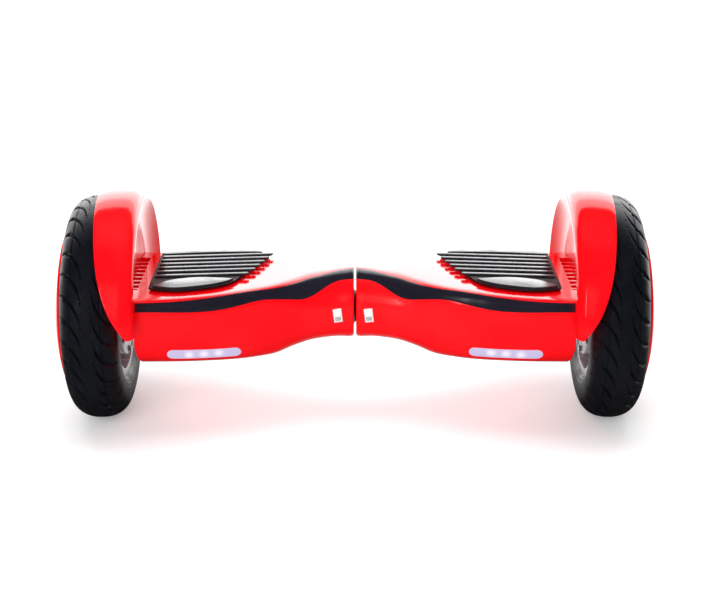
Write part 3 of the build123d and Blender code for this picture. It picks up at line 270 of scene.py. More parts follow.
def colour_mix(tree: Tree, mask: Socket, strength: float, first: Colour | Socket, second: Colour) -> Socket:
    """Mix two colours by a mask.

    Args:
        tree: the tree it goes in.
        mask: where the second colour shows.
        strength: how much of it shows there.
        first: a colour or a socket.
        second: a colour.

    Returns:
        The mixed colour's socket.
    """
    node = tree.nodes.new("ShaderNodeMix")
    node.data_type = "RGBA"
    tree.links.new(math_step(tree, "MULTIPLY", mask, strength), node.inputs["Factor"])
    feed(tree, node.inputs[MIX_FIRST], (*first, 1.0) if isinstance(first, tuple) else first)
    node.inputs[MIX_SECOND].default_value = (*second, 1.0)
    return node.outputs[MIX_RESULT]


class Shop:
    """Makes the shared shader groups and each finish's material.

    Attributes:
        COAT_ROUGHNESS: roughness of every clear coat.
        LEAST_ROUGHNESS: no finish is smoother than this.
        RUBBED_TURN: cosine between the true and the rounded normal where rubbing starts and is full.
        RUBBED_SCALE: scale of the noise that breaks the rubbing up.
        RUBBED_NOISE: levels of that noise where rubbing starts and is full.
        PRINT_ACROSS: where the print starts and ends across a label, as shares of it.
        PRINT_UP: where the print starts and ends up a label.
        INK: the print's colour.
        INK_STRENGTH: how strongly it covers the label.
        SPOTS: places of the lens's bright spots from its middle.
        SPOT_RADIUS: radius where a spot has faded out.
        SPOT_STRENGTH: how strongly a spot shows.
        LENS_TONE: colour of the lit lens.
        SPOT_TONE: colour of its spots.
        LENS_GLOW: strength of its light.
    """

    COAT_ROUGHNESS = 0.06
    LEAST_ROUGHNESS = 0.03
    RUBBED_TURN = (0.995, 0.82)
    RUBBED_SCALE = 160.0
    RUBBED_NOISE = (0.42, 0.60)
    PRINT_ACROSS = (0.16, 0.84)
    PRINT_UP = (0.10, 0.42)
    INK = (0.03, 0.03, 0.05)
    INK_STRENGTH = 0.9
    SPOTS = (-16 * MM, 0.0, 16 * MM)
    SPOT_RADIUS = 8 * MM
    SPOT_STRENGTH = 0.8
    LENS_TONE = (0.50, 0.45, 0.64)
    SPOT_TONE = (1.0, 0.95, 1.0)
    LENS_GLOW = 0.86

    def __init__(self) -> None:
        """Build the groups once."""
        self.made: dict[str, bpy.types.Material] = {}
        self.grain = self._grain_group()
        self.mottle = self._mottle_group()
        self.edge = self._edge_group()

    @staticmethod
    def _group(name: str, size: tuple[str, float],
               outputs: list[tuple[str, str]]) -> tuple[Tree, Socket, bpy.types.Node]:
        """Start a shader group that takes one size in metres.

        Args:
            name: the group's name.
            size: the size's name and usual value.
            outputs: socket names and types.

        Returns:
            The tree, the size's socket and the output node.
        """
        tree = bpy.data.node_groups.new(name, "ShaderNodeTree")
        label, value = size
        socket = tree.interface.new_socket(label, in_out="INPUT", socket_type="NodeSocketFloat")
        socket.default_value = value
        for title, kind in outputs:
            tree.interface.new_socket(title, in_out="OUTPUT", socket_type=kind)
        return tree, tree.nodes.new("NodeGroupInput").outputs[label], tree.nodes.new("NodeGroupOutput")

    def _grain_group(self) -> Tree:
        """Fine moulded grain.

        Returns:
            The group, with Size in metres and a Height between 0 and 1.
        """
        tree, size, end = self._group("fine_grain", ("Size", 1 * MM), [("Height", "NodeSocketFloat")])
        place = tree.nodes.new("ShaderNodeTexCoord").outputs["Object"]
        scale = math_step(tree, "DIVIDE", 1.0, size)
        tree.links.new(noise(tree, place, scale, Detail=4.0, Roughness=0.6), end.inputs["Height"])
        return tree

    def _mottle_group(self) -> Tree:
        """Slow variation: a soft mask for colour, and a sparser one for roughness.

        Returns:
            The group, with Size in metres, and Mask and Smudge outputs between 0 and 1.
        """
        tree, size, end = self._group("slow_variation", ("Size", 40 * MM),
                                      [("Mask", "NodeSocketFloat"), ("Smudge", "NodeSocketFloat")])
        place = tree.nodes.new("ShaderNodeTexCoord").outputs["Object"]
        scale = math_step(tree, "DIVIDE", 1.0, size)
        for label, detail, levels, shift in (("Mask", 3.0, (0.35, 0.65), 0.0),
                                             ("Smudge", 6.0, (0.5, 0.72), 3.7)):
            moved = tree.nodes.new("ShaderNodeVectorMath")
            moved.operation = "ADD"
            moved.inputs[1].default_value = (shift, shift, shift)
            tree.links.new(place, moved.inputs[0])
            level = noise(tree, moved.outputs[0], scale, Detail=detail, Distortion=0.4)
            tree.links.new(rescale(tree, level, levels), end.inputs[label])
        return tree

    def _edge_group(self) -> Tree:
        """Rubbed edges: a mask where the rounded normal leaves the true one, broken up by noise.

        Returns:
            The group, with Radius in metres, and Mask and Normal outputs.
        """
        tree, radius, end = self._group("edge_wear", ("Radius", 0.5 * MM),
                                        [("Mask", "NodeSocketFloat"), ("Normal", "NodeSocketVector")])
        rounding = tree.nodes.new("ShaderNodeBevel")
        rounding.samples = 4
        tree.links.new(radius, rounding.inputs["Radius"])
        shape = tree.nodes.new("ShaderNodeNewGeometry")
        dot = tree.nodes.new("ShaderNodeVectorMath")
        dot.operation = "DOT_PRODUCT"
        tree.links.new(rounding.outputs["Normal"], dot.inputs[0])
        tree.links.new(shape.outputs["Normal"], dot.inputs[1])
        turned = rescale(tree, dot.outputs["Value"], self.RUBBED_TURN)
        place = tree.nodes.new("ShaderNodeTexCoord").outputs["Object"]
        broken = rescale(tree, noise(tree, place, self.RUBBED_SCALE, Detail=5.0), self.RUBBED_NOISE)
        tree.links.new(math_step(tree, "MULTIPLY", turned, broken), end.inputs["Mask"])
        tree.links.new(rounding.outputs["Normal"], end.inputs["Normal"])
        return tree

    def material(self, name: str) -> bpy.types.Material:
        """The material of a finish, made on first use.

        Args:
            name: the finish's name.

        Returns:
            The material.
        """
        if name not in self.made:
            self.made[name] = self._build(name, FINISHES[name])
        return self.made[name]

    def _build(self, name: str, finish: Finish) -> bpy.types.Material:
        """Put one finish's material together.

        Args:
            name: the material's name.
            finish: its look.

        Returns:
            The material.
        """
        made = bpy.data.materials.new(f"{name}_finish")
        made.use_nodes = True
        tree = made.node_tree
        shader = tree.nodes["Principled BSDF"]
        shader.inputs["Metallic"].default_value = finish.metallic
        shader.inputs["Coat Weight"].default_value = finish.coat
        shader.inputs["Coat Roughness"].default_value = self.COAT_ROUGHNESS

        mottle = self._place(tree, self.mottle, "Size", finish.mottle)
        edge = self._place(tree, self.edge, "Radius", finish.soft_edge)
        grain = self._place(tree, self.grain, "Size", finish.grain)

        slow = colour_mix(tree, mottle.outputs["Mask"], finish.blend, finish.colour, finish.second)
        if finish.surface is Surface.STICKER:
            slow = self._printed(tree, slow)
        rubbed = colour_mix(tree, edge.outputs["Mask"], finish.wear, slow, finish.worn)
        tree.links.new(rubbed, shader.inputs["Base Color"])

        smooth = max(finish.roughness - finish.swing, self.LEAST_ROUGHNESS)
        rough = rescale(tree, mottle.outputs["Smudge"], (0.0, 1.0), (smooth, finish.roughness + finish.swing))
        tree.links.new(rough, shader.inputs["Roughness"])

        bump = tree.nodes.new("ShaderNodeBump")
        bump.inputs["Distance"].default_value = finish.relief
        tree.links.new(grain.outputs["Height"], bump.inputs["Height"])
        tree.links.new(edge.outputs["Normal"], bump.inputs["Normal"])
        tree.links.new(bump.outputs["Normal"], shader.inputs["Normal"])
        if finish.surface is Surface.GLOWING:
            self._glow(tree, shader)
        return made

    @staticmethod
    def _place(tree: Tree, group: Tree, label: str, value: float) -> bpy.types.Node:
        """Place a group in a material with its own size.

        Args:
            tree: the material's tree.
            group: the group.
            label: name of the group's size.
            value: the size.

        Returns:
            The group's node.
        """
        node = tree.nodes.new("ShaderNodeGroup")
        node.node_tree = group
        node.inputs[label].default_value = value
        return node

    def _printed(self, tree: Tree, ground: Socket) -> Socket:
        """Dark printed blocks on the lower part of a label, from its own coordinates.

        Args:
            tree: the material's tree.
            ground: the label's ground colour.

        Returns:
            The printed colour's socket.
        """
        place = tree.nodes.new("ShaderNodeTexCoord")
        split = tree.nodes.new("ShaderNodeSeparateXYZ")
        tree.links.new(place.outputs["UV"], split.inputs[0])
        brick = tree.nodes.new("ShaderNodeTexBrick")
        for label, value in (("Scale", 1.0), ("Brick Width", 0.24), ("Row Height", 0.12),
                             ("Mortar Size", 0.02), ("Color1", WHITE), ("Color2", WHITE), ("Mortar", BLACK)):
            brick.inputs[label].default_value = value
        tree.links.new(place.outputs["UV"], brick.inputs["Vector"])
        mask = brick.outputs["Color"]
        for axis, limits in (("X", self.PRINT_ACROSS), ("Y", self.PRINT_UP)):
            for operation, limit in zip(("GREATER_THAN", "LESS_THAN"), limits):
                mask = math_step(tree, "MULTIPLY", mask,
                                 math_step(tree, operation, split.outputs[axis], limit))
        return colour_mix(tree, mask, self.INK_STRENGTH, ground, self.INK)

    def _glow(self, tree: Tree, shader: bpy.types.Node) -> None:
        """Light the lens: three bright spots that fade along its length.

        Args:
            tree: the material's tree.
            shader: its Principled shader.
        """
        place = tree.nodes.new("ShaderNodeTexCoord")
        split = tree.nodes.new("ShaderNodeSeparateXYZ")
        tree.links.new(place.outputs["Object"], split.inputs[0])
        flat = tree.nodes.new("ShaderNodeCombineXYZ")
        tree.links.new(math_step(tree, "ABSOLUTE", split.outputs["X"]), flat.inputs["X"])
        tree.links.new(split.outputs["Z"], flat.inputs["Z"])
        low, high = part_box("right_headlight_lens")
        middle = (low.x + high.x) / 2
        level = (low.z + high.z) / 2
        total: Value = 0.0
        for offset in self.SPOTS:
            distance = tree.nodes.new("ShaderNodeVectorMath")
            distance.operation = "DISTANCE"
            distance.inputs[1].default_value = (middle + offset, 0.0, level)
            tree.links.new(flat.outputs[0], distance.inputs[0])
            fade = rescale(tree, distance.outputs["Value"], (self.SPOT_RADIUS, 0.0), easing="SMOOTHSTEP")
            total = math_step(tree, "ADD", total, fade)
        colour = colour_mix(tree, total, self.SPOT_STRENGTH, self.LENS_TONE, self.SPOT_TONE)
        tree.links.new(colour, shader.inputs["Emission Color"])
        shader.inputs["Emission Strength"].default_value = self.LENS_GLOW


# ---------------------------------------------------------------- mesh helpers

WELD = 0.002 * MM
SHARP_DEG = 32.0


def smooth_by_angle(limit_deg: float) -> Tree:
    """Node group that joins doubled points and shades all but the sharper edges smooth.

    Args:
        limit_deg: angle above which an edge stays sharp.

    Returns:
        The geometry node group.
    """
    tree = bpy.data.node_groups.new(f"smooth_under_{limit_deg:.0f}", "GeometryNodeTree")
    tree.interface.new_socket("Geometry", in_out="INPUT", socket_type="NodeSocketGeometry")
    tree.interface.new_socket("Geometry", in_out="OUTPUT", socket_type="NodeSocketGeometry")
    start = tree.nodes.new("NodeGroupInput")
    end = tree.nodes.new("NodeGroupOutput")
    weld = tree.nodes.new("GeometryNodeMergeByDistance")
    weld.inputs["Distance"].default_value = WELD
    plain = tree.nodes.new("GeometryNodeRemoveAttribute")
    plain.inputs["Name"].default_value = "custom_normal"
    faces = tree.nodes.new("GeometryNodeSetShadeSmooth")
    faces.domain = "FACE"
    edges = tree.nodes.new("GeometryNodeSetShadeSmooth")
    edges.domain = "EDGE"
    angle = tree.nodes.new("GeometryNodeInputMeshEdgeAngle")
    test = tree.nodes.new("FunctionNodeCompare")
    test.data_type = "FLOAT"
    test.operation = "LESS_THAN"
    test.inputs[1].default_value = math.radians(limit_deg)
    tree.links.new(start.outputs[0], weld.inputs["Geometry"])
    tree.links.new(weld.outputs["Geometry"], plain.inputs["Geometry"])
    tree.links.new(plain.outputs["Geometry"], faces.inputs["Geometry"])
    tree.links.new(faces.outputs["Geometry"], edges.inputs["Geometry"])
    tree.links.new(angle.outputs["Unsigned Angle"], test.inputs[0])
    tree.links.new(test.outputs["Result"], edges.inputs["Shade Smooth"])
    tree.links.new(edges.outputs["Geometry"], end.inputs[0])
    return tree


SMOOTHING = smooth_by_angle(SHARP_DEG)


def add_smoothing(piece: bpy.types.Object) -> None:
    """Shade a piece smooth except across its sharp edges."""
    modifier = piece.modifiers.new("smoothing", "NODES")
    modifier.node_group = SMOOTHING


def add_bevel(piece: bpy.types.Object, width: float, segments: int = 2, angle_deg: float = 38.0) -> None:
    """Round a piece's sharp edges.

    Args:
        piece: the object.
        width: width of the rounding.
        segments: its steps.
        angle_deg: edges sharper than this are rounded.
    """
    modifier = piece.modifiers.new("rounding", "BEVEL")
    modifier.width = width
    modifier.segments = segments
    modifier.limit_method = "ANGLE"
    modifier.angle_limit = math.radians(angle_deg)
    modifier.use_clamp_overlap = True


def mesh_piece(name: str, points: list[Point] | np.ndarray,
               faces: list[tuple[int, ...]]) -> bpy.types.Object:
    """A smooth-shaded mesh object in the scene.

    Args:
        name: its name.
        points: vertices.
        faces: vertex indices of each face.

    Returns:
        The object.
    """
    mesh = bpy.data.meshes.new(name)
    mesh.from_pydata([tuple(map(float, p)) for p in points], [], faces)
    mesh.validate()
    mesh.polygons.foreach_set("use_smooth", [True] * len(mesh.polygons))
    mesh.update()
    piece = bpy.data.objects.new(name, mesh)
    bpy.context.scene.collection.objects.link(piece)
    return piece


def smoothstep(value: np.ndarray) -> np.ndarray:
    """Ease from 0 to 1 over 0 to 1."""
    held = np.clip(value, 0.0, 1.0)
    return held * held * (3.0 - 2.0 * held)


def surface_tree(node: str) -> BVHTree:
    """Search tree of a CAD node's faces."""
    mesh = frame["nodes"][node].data
    return BVHTree.FromPolygons([v.co for v in mesh.vertices], [tuple(p.vertices) for p in mesh.polygons])


# ---------------------------------------------------------------- wheels

@dataclass
class Tyre:
    """Pneumatic tyre with curved tread grooves, turned about the axle.

    The grooves start in turn from the two sides of the tread's middle, and shallow bands run around it.
    """

    side: Side
    grooves: int = 30
    groove_sweep: float = math.radians(21.0)
    groove_width: float = 3.1 * MM
    groove_depth: float = 4.0 * MM
    groove_end: float = 0.9 * MM
    groove_taper: float = 0.35
    groove_wall: float = 0.9 * MM
    course_points: int = 36
    tip_left: float = -3.5 * MM
    tip_right: float = 6.5 * MM
    fade_start: float = 25.0 * MM
    fade_length: float = 8.0 * MM
    fade_share: float = 0.6
    sipe_place: float = 17.0 * MM
    sipe_width: float = 0.8 * MM
    sipe_depth: float = 1.2 * MM
    sipe_wall: float = 0.6 * MM
    shoulder_reach: float = 35.0 * MM
    shoulder_plain: float = 6.0 * MM
    rings: tuple[Pair, ...] = ((84.5 * MM, 1.6 * MM), (89.0 * MM, 1.0 * MM), (106.0 * MM, 1.4 * MM))
    ring_height: float = 0.7 * MM
    bars_around: int = 48
    bar_radius: float = 97.5 * MM
    bar_reach: float = 5.0 * MM
    bar_fade: float = 1.2 * MM
    bar_height: float = 0.6 * MM
    bead_radius: float = 76.0 * MM
    bead_inset: float = 9.0 * MM
    bead_curl: float = 2.2
    waist_drop: float = 3.0 * MM
    squareness: float = 0.86
    wall: float = 6.0 * MM
    steps_around: int = 1200
    wall_rows: int = 16
    shoulder_rows: int = 8
    tread_rows: int = 84
    tread_span: Pair = (0.30, 0.70)

    def __post_init__(self) -> None:
        """Take the place and size from the tyre's node."""
        low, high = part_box(self.side.node("tyre"))
        self.middle = (low.x + high.x) / 2
        self.half_width = (high.x - low.x) / 2
        self.axle = (low.z + high.z) / 2
        self.radius = (high.z - low.z) / 2
        self.waist = (self.radius + self.bead_radius) / 2 - self.waist_drop

    def outline(self) -> np.ndarray:
        """Cross-section from one bead over the tread to the other.

        Returns:
            Rows of place across, radius, and distance along the tread from its middle.
        """
        upper = self.radius - self.waist
        rows: list[Pair] = []
        for share in np.linspace(0.0, 1.0, self.wall_rows, endpoint=False):
            radius = self.bead_radius + (self.waist - self.bead_radius) * share
            across = self.half_width - self.bead_inset * (1 - share) ** self.bead_curl
            rows.append((-across, radius))
        beads = rows[::-1]
        start, end = self.tread_span
        turns = np.concatenate([np.linspace(0.0, start, self.shoulder_rows, endpoint=False),
                                np.linspace(start, end, self.tread_rows, endpoint=False),
                                np.linspace(end, 1.0, self.shoulder_rows + 1)])
        for angle in math.pi * turns:
            x = -math.copysign(abs(math.cos(angle)) ** self.squareness, math.cos(angle)) * self.half_width
            rows.append((x, self.waist + upper * abs(math.sin(angle)) ** self.squareness))
        rows += [(-x, radius) for x, radius in beads]
        profile = np.array(rows)
        steps = np.hypot(*np.diff(profile, axis=0).T)
        along = np.concatenate([[0.0], np.cumsum(steps)])
        along -= along[-1] / 2
        return np.column_stack([profile, along])

    def groove_course(self, right: bool) -> tuple[np.ndarray, np.ndarray, np.ndarray]:
        """Middle line of one groove.

        Args:
            right: the groove on the tread's right half as it is seen from the front.

        Returns:
            Place along the tread, turn about the axle, and width there.
        """
        share = np.linspace(0.0, 1.0, self.course_points)
        wide, narrow = self.groove_width, self.groove_end
        if right:
            place = self.tip_right + (self.shoulder_reach - self.tip_right) * share
            turn = self.groove_sweep * np.sqrt(1 - (1 - share) ** 2)
            width = np.interp(share, [0.0, self.groove_taper, 1.0], [narrow, wide, wide])
        else:
            place = -self.shoulder_reach + (self.shoulder_reach + self.tip_left) * share
            turn = self.groove_sweep * (1 - np.sqrt(1 - share ** 2))
            width = np.interp(share, [0.0, 1 - self.groove_taper, 1.0], [wide, wide, narrow])
        return place, turn, width

    def carved_depth(self, along: np.ndarray, angle: np.ndarray) -> np.ndarray:
        """Depth cut into the tread.

        Args:
            along: distance along the tread from its middle, for each row of points.
            angle: turn about the axle, for each column.

        Returns:
            Depth for each row and column.
        """
        pitch = 2 * math.pi / self.grooves
        depth = np.zeros((len(along), len(angle)))
        phase = np.mod(angle, pitch)
        for right in (False, True):
            place, turn, width = self.groove_course(right)
            shift = pitch / 2 if right else 0.0
            reach = (along[:, None, None] - place[None, None, :]) ** 2
            nearest = np.full(depth.shape, -1.0)
            for whole in range(-3, 2):
                gap = (phase[None, :, None] - (turn + shift + whole * pitch)[None, None, :]) * self.radius
                inside = width[None, None, :] / 2 - np.sqrt(reach + gap ** 2)
                nearest = np.maximum(nearest, inside.max(axis=2))
            depth = np.maximum(depth, self.groove_depth * smoothstep(nearest / self.groove_wall + 0.5))
        fade = smoothstep((np.abs(along) - self.fade_start) / self.fade_length)
        depth *= (1.0 - self.fade_share * fade)[:, None]
        sipe = np.abs(np.abs(along) - self.sipe_place)
        cut = self.sipe_depth * smoothstep((self.sipe_width - sipe) / self.sipe_wall + 0.5)
        return np.maximum(depth, cut[:, None])

    def sidewall_relief(self, radius: np.ndarray, angle: np.ndarray) -> np.ndarray:
        """Raised rings and three groups of short bars on the sidewalls.

        Args:
            radius: radius of each row.
            angle: turn of each column.

        Returns:
            Height for each row and column.
        """
        height = np.zeros((len(radius), len(angle)))
        for ring, width in self.rings:
            height += (self.ring_height * smoothstep(1.4 - np.abs(radius - ring) / width))[:, None]
        band = smoothstep((self.bar_reach - np.abs(radius - self.bar_radius)) / self.bar_fade + 0.5)
        bars = smoothstep((np.abs(np.mod(angle * self.bars_around / (2 * math.pi), 1.0) - 0.5) - 0.22) / 0.10)
        sector = smoothstep((np.abs(np.sin(1.5 * angle)) - 0.35) / 0.1)
        return height + self.bar_height * band[:, None] * (bars * sector)[None, :]

    def build(self, shop: Shop) -> bpy.types.Object:
        """Make the carved tyre in place of its CAD solid.

        Args:
            shop: the finishes.

        Returns:
            The tyre.
        """
        profile = self.outline()
        across, radius, along = profile.T
        angle = np.linspace(0.0, 2 * math.pi, self.steps_around, endpoint=False)
        depth = self.carved_depth(along, angle)
        relief = self.sidewall_relief(radius, angle)
        on_wall = (np.abs(along) > self.shoulder_reach + self.shoulder_plain)[:, None]
        change = np.where(on_wall, relief, -depth)
        tangent = np.gradient(profile[:, :2], axis=0)
        normal = np.column_stack([-tangent[:, 1], tangent[:, 0]])
        normal /= np.linalg.norm(normal, axis=1)[:, None]
        x = self.middle + across[:, None] + normal[:, 0:1] * change
        x = np.clip(x, self.middle - self.half_width, self.middle + self.half_width)
        r = radius[:, None] + normal[:, 1:2] * change
        y = -np.cos(angle)[None, :] * r
        z = self.axle - np.sin(angle)[None, :] * r
        outer = np.stack([x, y, z], axis=-1).reshape(-1, 3)
        points = np.concatenate([outer, self.lining(angle)])
        columns = self.steps_around
        rows = len(points) // columns
        faces = [(i * columns + j, i * columns + (j + 1) % columns,
                  (i + 1) % rows * columns + (j + 1) % columns, (i + 1) % rows * columns + j)
                 for i in range(rows) for j in range(columns)]
        piece = mesh_piece(self.side.node("tread_tyre"), points, faces)
        piece.data.materials.append(shop.material("tyre_rubber"))
        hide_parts(self.side.node("tyre"))
        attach(piece, self.side.node("wheel"))
        return piece

    def lining(self, angle: np.ndarray) -> np.ndarray:
        """Inside of the tyre, from the far bead back to the near one.

        Args:
            angle: turn of each column.

        Returns:
            Points, a row at a time.
        """
        half = self.half_width - self.wall
        bead = self.half_width - self.bead_inset - self.wall + 1 * MM
        crown = self.radius - self.wall - 1 * MM
        rows = [(bead, self.bead_radius), (bead, self.bead_radius + 7 * MM), (half, self.waist),
                (half - 6 * MM, crown - 7 * MM), (0.5 * half, crown - 2 * MM), (0.0, crown)]
        rows += [(-x, r) for x, r in rows[-2::-1]]
        return np.array([(self.middle + x, -math.cos(a) * r, self.axle - math.sin(a) * r)
                         for x, r in rows for a in angle])


# ---------------------------------------------------------------- foot pads

@dataclass
class FootPad:
    """Rubber pad: thin base with six ridges, a front crescent and a back bar.

    Plan points are in millimetres: the distance in from the pad's outer edge, and the place along Y.
    """

    side: Side
    slope: float = math.tan(math.radians(1.75))
    base: float = 1.8 * MM
    ridge: float = 2.4 * MM
    ridge_width: float = 6.2
    ridge_start: float = 4.0
    fronts: tuple[float, ...] = (-26.0, -10.6, 3.6, 17.5, 32.0, 45.7)
    ends: tuple[float, ...] = (106.6, 113.3, 118.1, 122.5, 126.7, 130.4)
    base_front: Plan = ((96.0, -40.0), (86.0, -54.0), (65.0, -65.5), (31.0, -72.0), (2.0, -62.0))
    base_corner: Pair = (0.6, -60.0)
    base_back: Plan = ((0.6, 70.0), (50.0, 71.5), (105.0, 69.0), (129.0, 52.0))
    crescent_front: Plan = ((93.0, -42.0), (84.0, -52.0), (64.0, -62.5), (31.0, -69.0), (5.0, -60.0))
    crescent_back: Plan = ((5.0, -60.0), (24.0, -41.0), (55.0, -34.0), (93.0, -42.0))
    bar_front: Plan = ((4.0, 58.0), (60.0, 60.0), (120.0, 56.5))
    bar_back: Plan = ((120.0, 56.5), (103.0, 66.5), (50.0, 69.5), (4.0, 68.0))
    underside: float = 0.1 * MM
    sunk: float = 0.4 * MM
    base_rounding: float = 0.6 * MM
    ridge_rounding: float = 0.9 * MM
    curve_steps: int = 8

    def __post_init__(self) -> None:
        """Take the place from the pad's node."""
        low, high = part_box(self.side.node("foot_pad"))
        self.edge = max(abs(low.x), abs(high.x))
        self.low = low.z

    def surface(self, from_edge: float, y: float, height: float) -> Point:
        """Point above the pad's sloping underside.

        Args:
            from_edge: distance in from the pad's outer edge, in millimetres.
            y: place along Y, in millimetres.
            height: height above the underside.

        Returns:
            The point.
        """
        return (self.side.value * (self.edge - from_edge * MM), y * MM,
                self.low + from_edge * MM * self.slope + height)

    def curve(self, points: Plan) -> list[Pair]:
        """Smooth curve through plan points.

        Args:
            points: the points it passes.

        Returns:
            Points on the curve, without the last.
        """
        ends = [points[0], *points, points[-1]]
        made = []
        for a, b, c, d in zip(ends, ends[1:], ends[2:], ends[3:]):
            for index in range(self.curve_steps):
                t = index / self.curve_steps
                made.append(tuple(
                    0.5 * (2 * q + (r - p) * t + (2 * p - 5 * q + 4 * r - s) * t * t
                           + (3 * q - p - 3 * r + s) * t ** 3)
                    for p, q, r, s in zip(a, b, c, d)))
        return made

    def slab(self, name: str, plan: list[Pair], low: float, high: float,
             rounding: float) -> bpy.types.Object:
        """A flat raised shape with rounded edges.

        Args:
            name: the piece's name.
            plan: its outline, in plan points.
            low: underside above the pad's underside.
            high: top above the pad's underside.
            rounding: width of the rounded edge.

        Returns:
            The piece.
        """
        count = len(plan)
        points = [self.surface(a, y, level) for level in (low, high) for a, y in plan]
        faces = [tuple(range(count)), tuple(range(2 * count - 1, count - 1, -1))]
        faces += [(i, count + i, count + (i + 1) % count, (i + 1) % count) for i in range(count)]
        piece = mesh_piece(name, points, faces)
        shape = bmesh.new()
        shape.from_mesh(piece.data)
        bmesh.ops.recalc_face_normals(shape, faces=shape.faces)
        shape.to_mesh(piece.data)
        shape.free()
        add_bevel(piece, rounding, 4, 45.0)
        add_smoothing(piece)
        return piece

    def raised(self, name: str, plan: list[Pair]) -> bpy.types.Object:
        """A rib, crescent or bar that stands on the base.

        Args:
            name: the piece's name, without its side.
            plan: its outline, in plan points.

        Returns:
            The piece.
        """
        return self.slab(self.side.node(name), plan, self.base - self.sunk, self.base + self.ridge,
                         self.ridge_rounding)

    def build(self, shop: Shop) -> list[bpy.types.Object]:
        """Make the pad's pieces in place of its CAD solid.

        Args:
            shop: the finishes.

        Returns:
            The pieces.
        """
        base = [*self.curve(self.base_front), self.base_corner,
                *self.curve(self.base_back), self.base_back[-1]]
        pieces = [self.slab(self.side.node("pad_base"), base, self.underside, self.base, self.base_rounding)]
        start, width = self.ridge_start, self.ridge_width
        for index, (y, end) in enumerate(zip(self.fronts, self.ends)):
            bar = [(start, y), (start, y + width), (end + 1.0, y + width),
                   (end + 2.6, y + 0.7 * width), (end, y)]
            pieces.append(self.raised(f"pad_ridge_{index + 1}", bar))
        crescent = self.curve(self.crescent_front) + self.curve(self.crescent_back)
        pieces.append(self.raised("pad_crescent", crescent))
        rear = [*self.curve(self.bar_front), *self.curve(self.bar_back), self.bar_back[-1]]
        pieces.append(self.raised("pad_back_bar", rear))
        for piece in pieces:
            # The base gets the darker rubber copy, painted shade for the floor between the ridges; the
            # ridges, crescent and bar get the pad rubber.
            piece.data.materials.append(shop.material("pad_floor_painted_shade" if piece is pieces[0] else "pad_rubber"))
            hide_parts(self.side.node("foot_pad"))
            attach(piece, self.side.node("pad"))
        return pieces


# ---------------------------------------------------------------- labels

@dataclass
class Label:
    """Small printed label on the front of a half, near the middle."""

    side: Side
    width: float = 9.6 * MM
    height: float = 16.5 * MM
    left_place: float = -19.3 * MM
    right_place: float = 15.4 * MM
    drop: float = 45.0 * MM
    tilt_deg: float = 7.0
    steps: int = 14
    proud: float = 0.25 * MM
    thickness: float = 0.2 * MM

    def build(self, shop: Shop) -> bpy.types.Object:
        """Lay the label on the shell.

        Args:
            shop: the finishes.

        Returns:
            The label.
        """
        tree = surface_tree(self.side.node("bottom_shell"))
        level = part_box(self.side.node("front_trim"))[1].z - self.drop
        turn = math.radians(self.tilt_deg)
        centre = self.left_place if self.side is Side.LEFT else self.right_place
        shares = [step / self.steps for step in range(self.steps + 1)]
        place = [(across, up) for up in shares for across in shares]
        points = []
        for across, up in place:
            a = (across - 0.5) * self.width
            b = (up - 0.5) * self.height
            x = centre + a * math.cos(turn) - b * math.sin(turn)
            z = level + a * math.sin(turn) + b * math.cos(turn)
            hit, normal, _, _ = tree.ray_cast(Vector((x, -1.0, z)), Vector((0.0, 1.0, 0.0)))
            out = normal if normal.y < 0 else -normal
            points.append(hit + out * self.proud)
        row = self.steps + 1
        corners = [i * row + j for i in range(self.steps) for j in range(self.steps)]
        faces = [(first, first + 1, first + row + 1, first + row) for first in corners]
        piece = mesh_piece(self.side.node("label"), points, faces)
        layer = piece.data.uv_layers.new(name="UVMap")
        for loop in piece.data.loops:
            layer.data[loop.index].uv = place[loop.vertex_index]
        backing = piece.modifiers.new("thickness", "SOLIDIFY")
        backing.thickness = self.thickness
        backing.offset = 1.0
        piece.data.materials.append(shop.material("label"))
        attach(piece, self.side.node("deck"))
        return piece


# ---------------------------------------------------------------- carried-over pieces

@dataclass
class Dresser:
    """Gives the pieces that keep their CAD shape their finish and soft edges."""

    shop: Shop
    bevels: dict[str, float] = field(default_factory=lambda: {
        "top_shell": 0.5 * MM, "bottom_shell": 0.5 * MM, "fender": 0.9 * MM, "front_trim": 0.4 * MM,
        "rear_trim": 0.4 * MM, "hub_cap": 0.8 * MM, "rim": 0.6 * MM, "motor_cover": 0.5 * MM,
        "chassis": 0.5 * MM, "charge_port": 0.3 * MM, "charge_port_cap": 0.4 * MM, "power_button": 0.3 * MM,
        "headlight_lens": 0.4 * MM,
    })

    def build(self) -> int:
        """Dress every CAD node.

        Returns:
            How many were dressed.
        """
        slots = {part["node"]: part["material_slot"] for part in frame["record"]["subparts"]}
        for name, piece in frame["nodes"].items():
            piece.data.materials.clear()
            piece.data.materials.append(self.shop.material(slots[name]))
            short = name.removeprefix("left_").removeprefix("right_")
            add_smoothing(piece)
            if short in self.bevels:
                add_bevel(piece, self.bevels[short])
                add_smoothing(piece)
        return len(frame["nodes"])


# ---------------------------------------------------------------- studio

@dataclass(frozen=True)
class Softbox:
    """One rectangular light.

    Attributes:
        name: its name.
        place: where it hangs.
        size: its width and height.
        power: watts.
        mirrored: whether glossy surfaces show it.
    """

    name: str
    place: Point
    size: Pair
    power: float
    mirrored: bool

    def hang(self, aim: Point) -> None:
        """Put the light in the scene.

        Args:
            aim: what it points at.
        """
        lamp = bpy.data.lights.new(self.name, "AREA")
        lamp.shape = "RECTANGLE"
        lamp.size, lamp.size_y = self.size
        lamp.energy = self.power
        holder = bpy.data.objects.new(self.name, lamp)
        holder.location = self.place
        holder.visible_glossy = self.mirrored
        holder.rotation_euler = (Vector(aim) - Vector(self.place)).to_track_quat("-Z", "Y").to_euler()
        bpy.context.scene.collection.objects.link(holder)


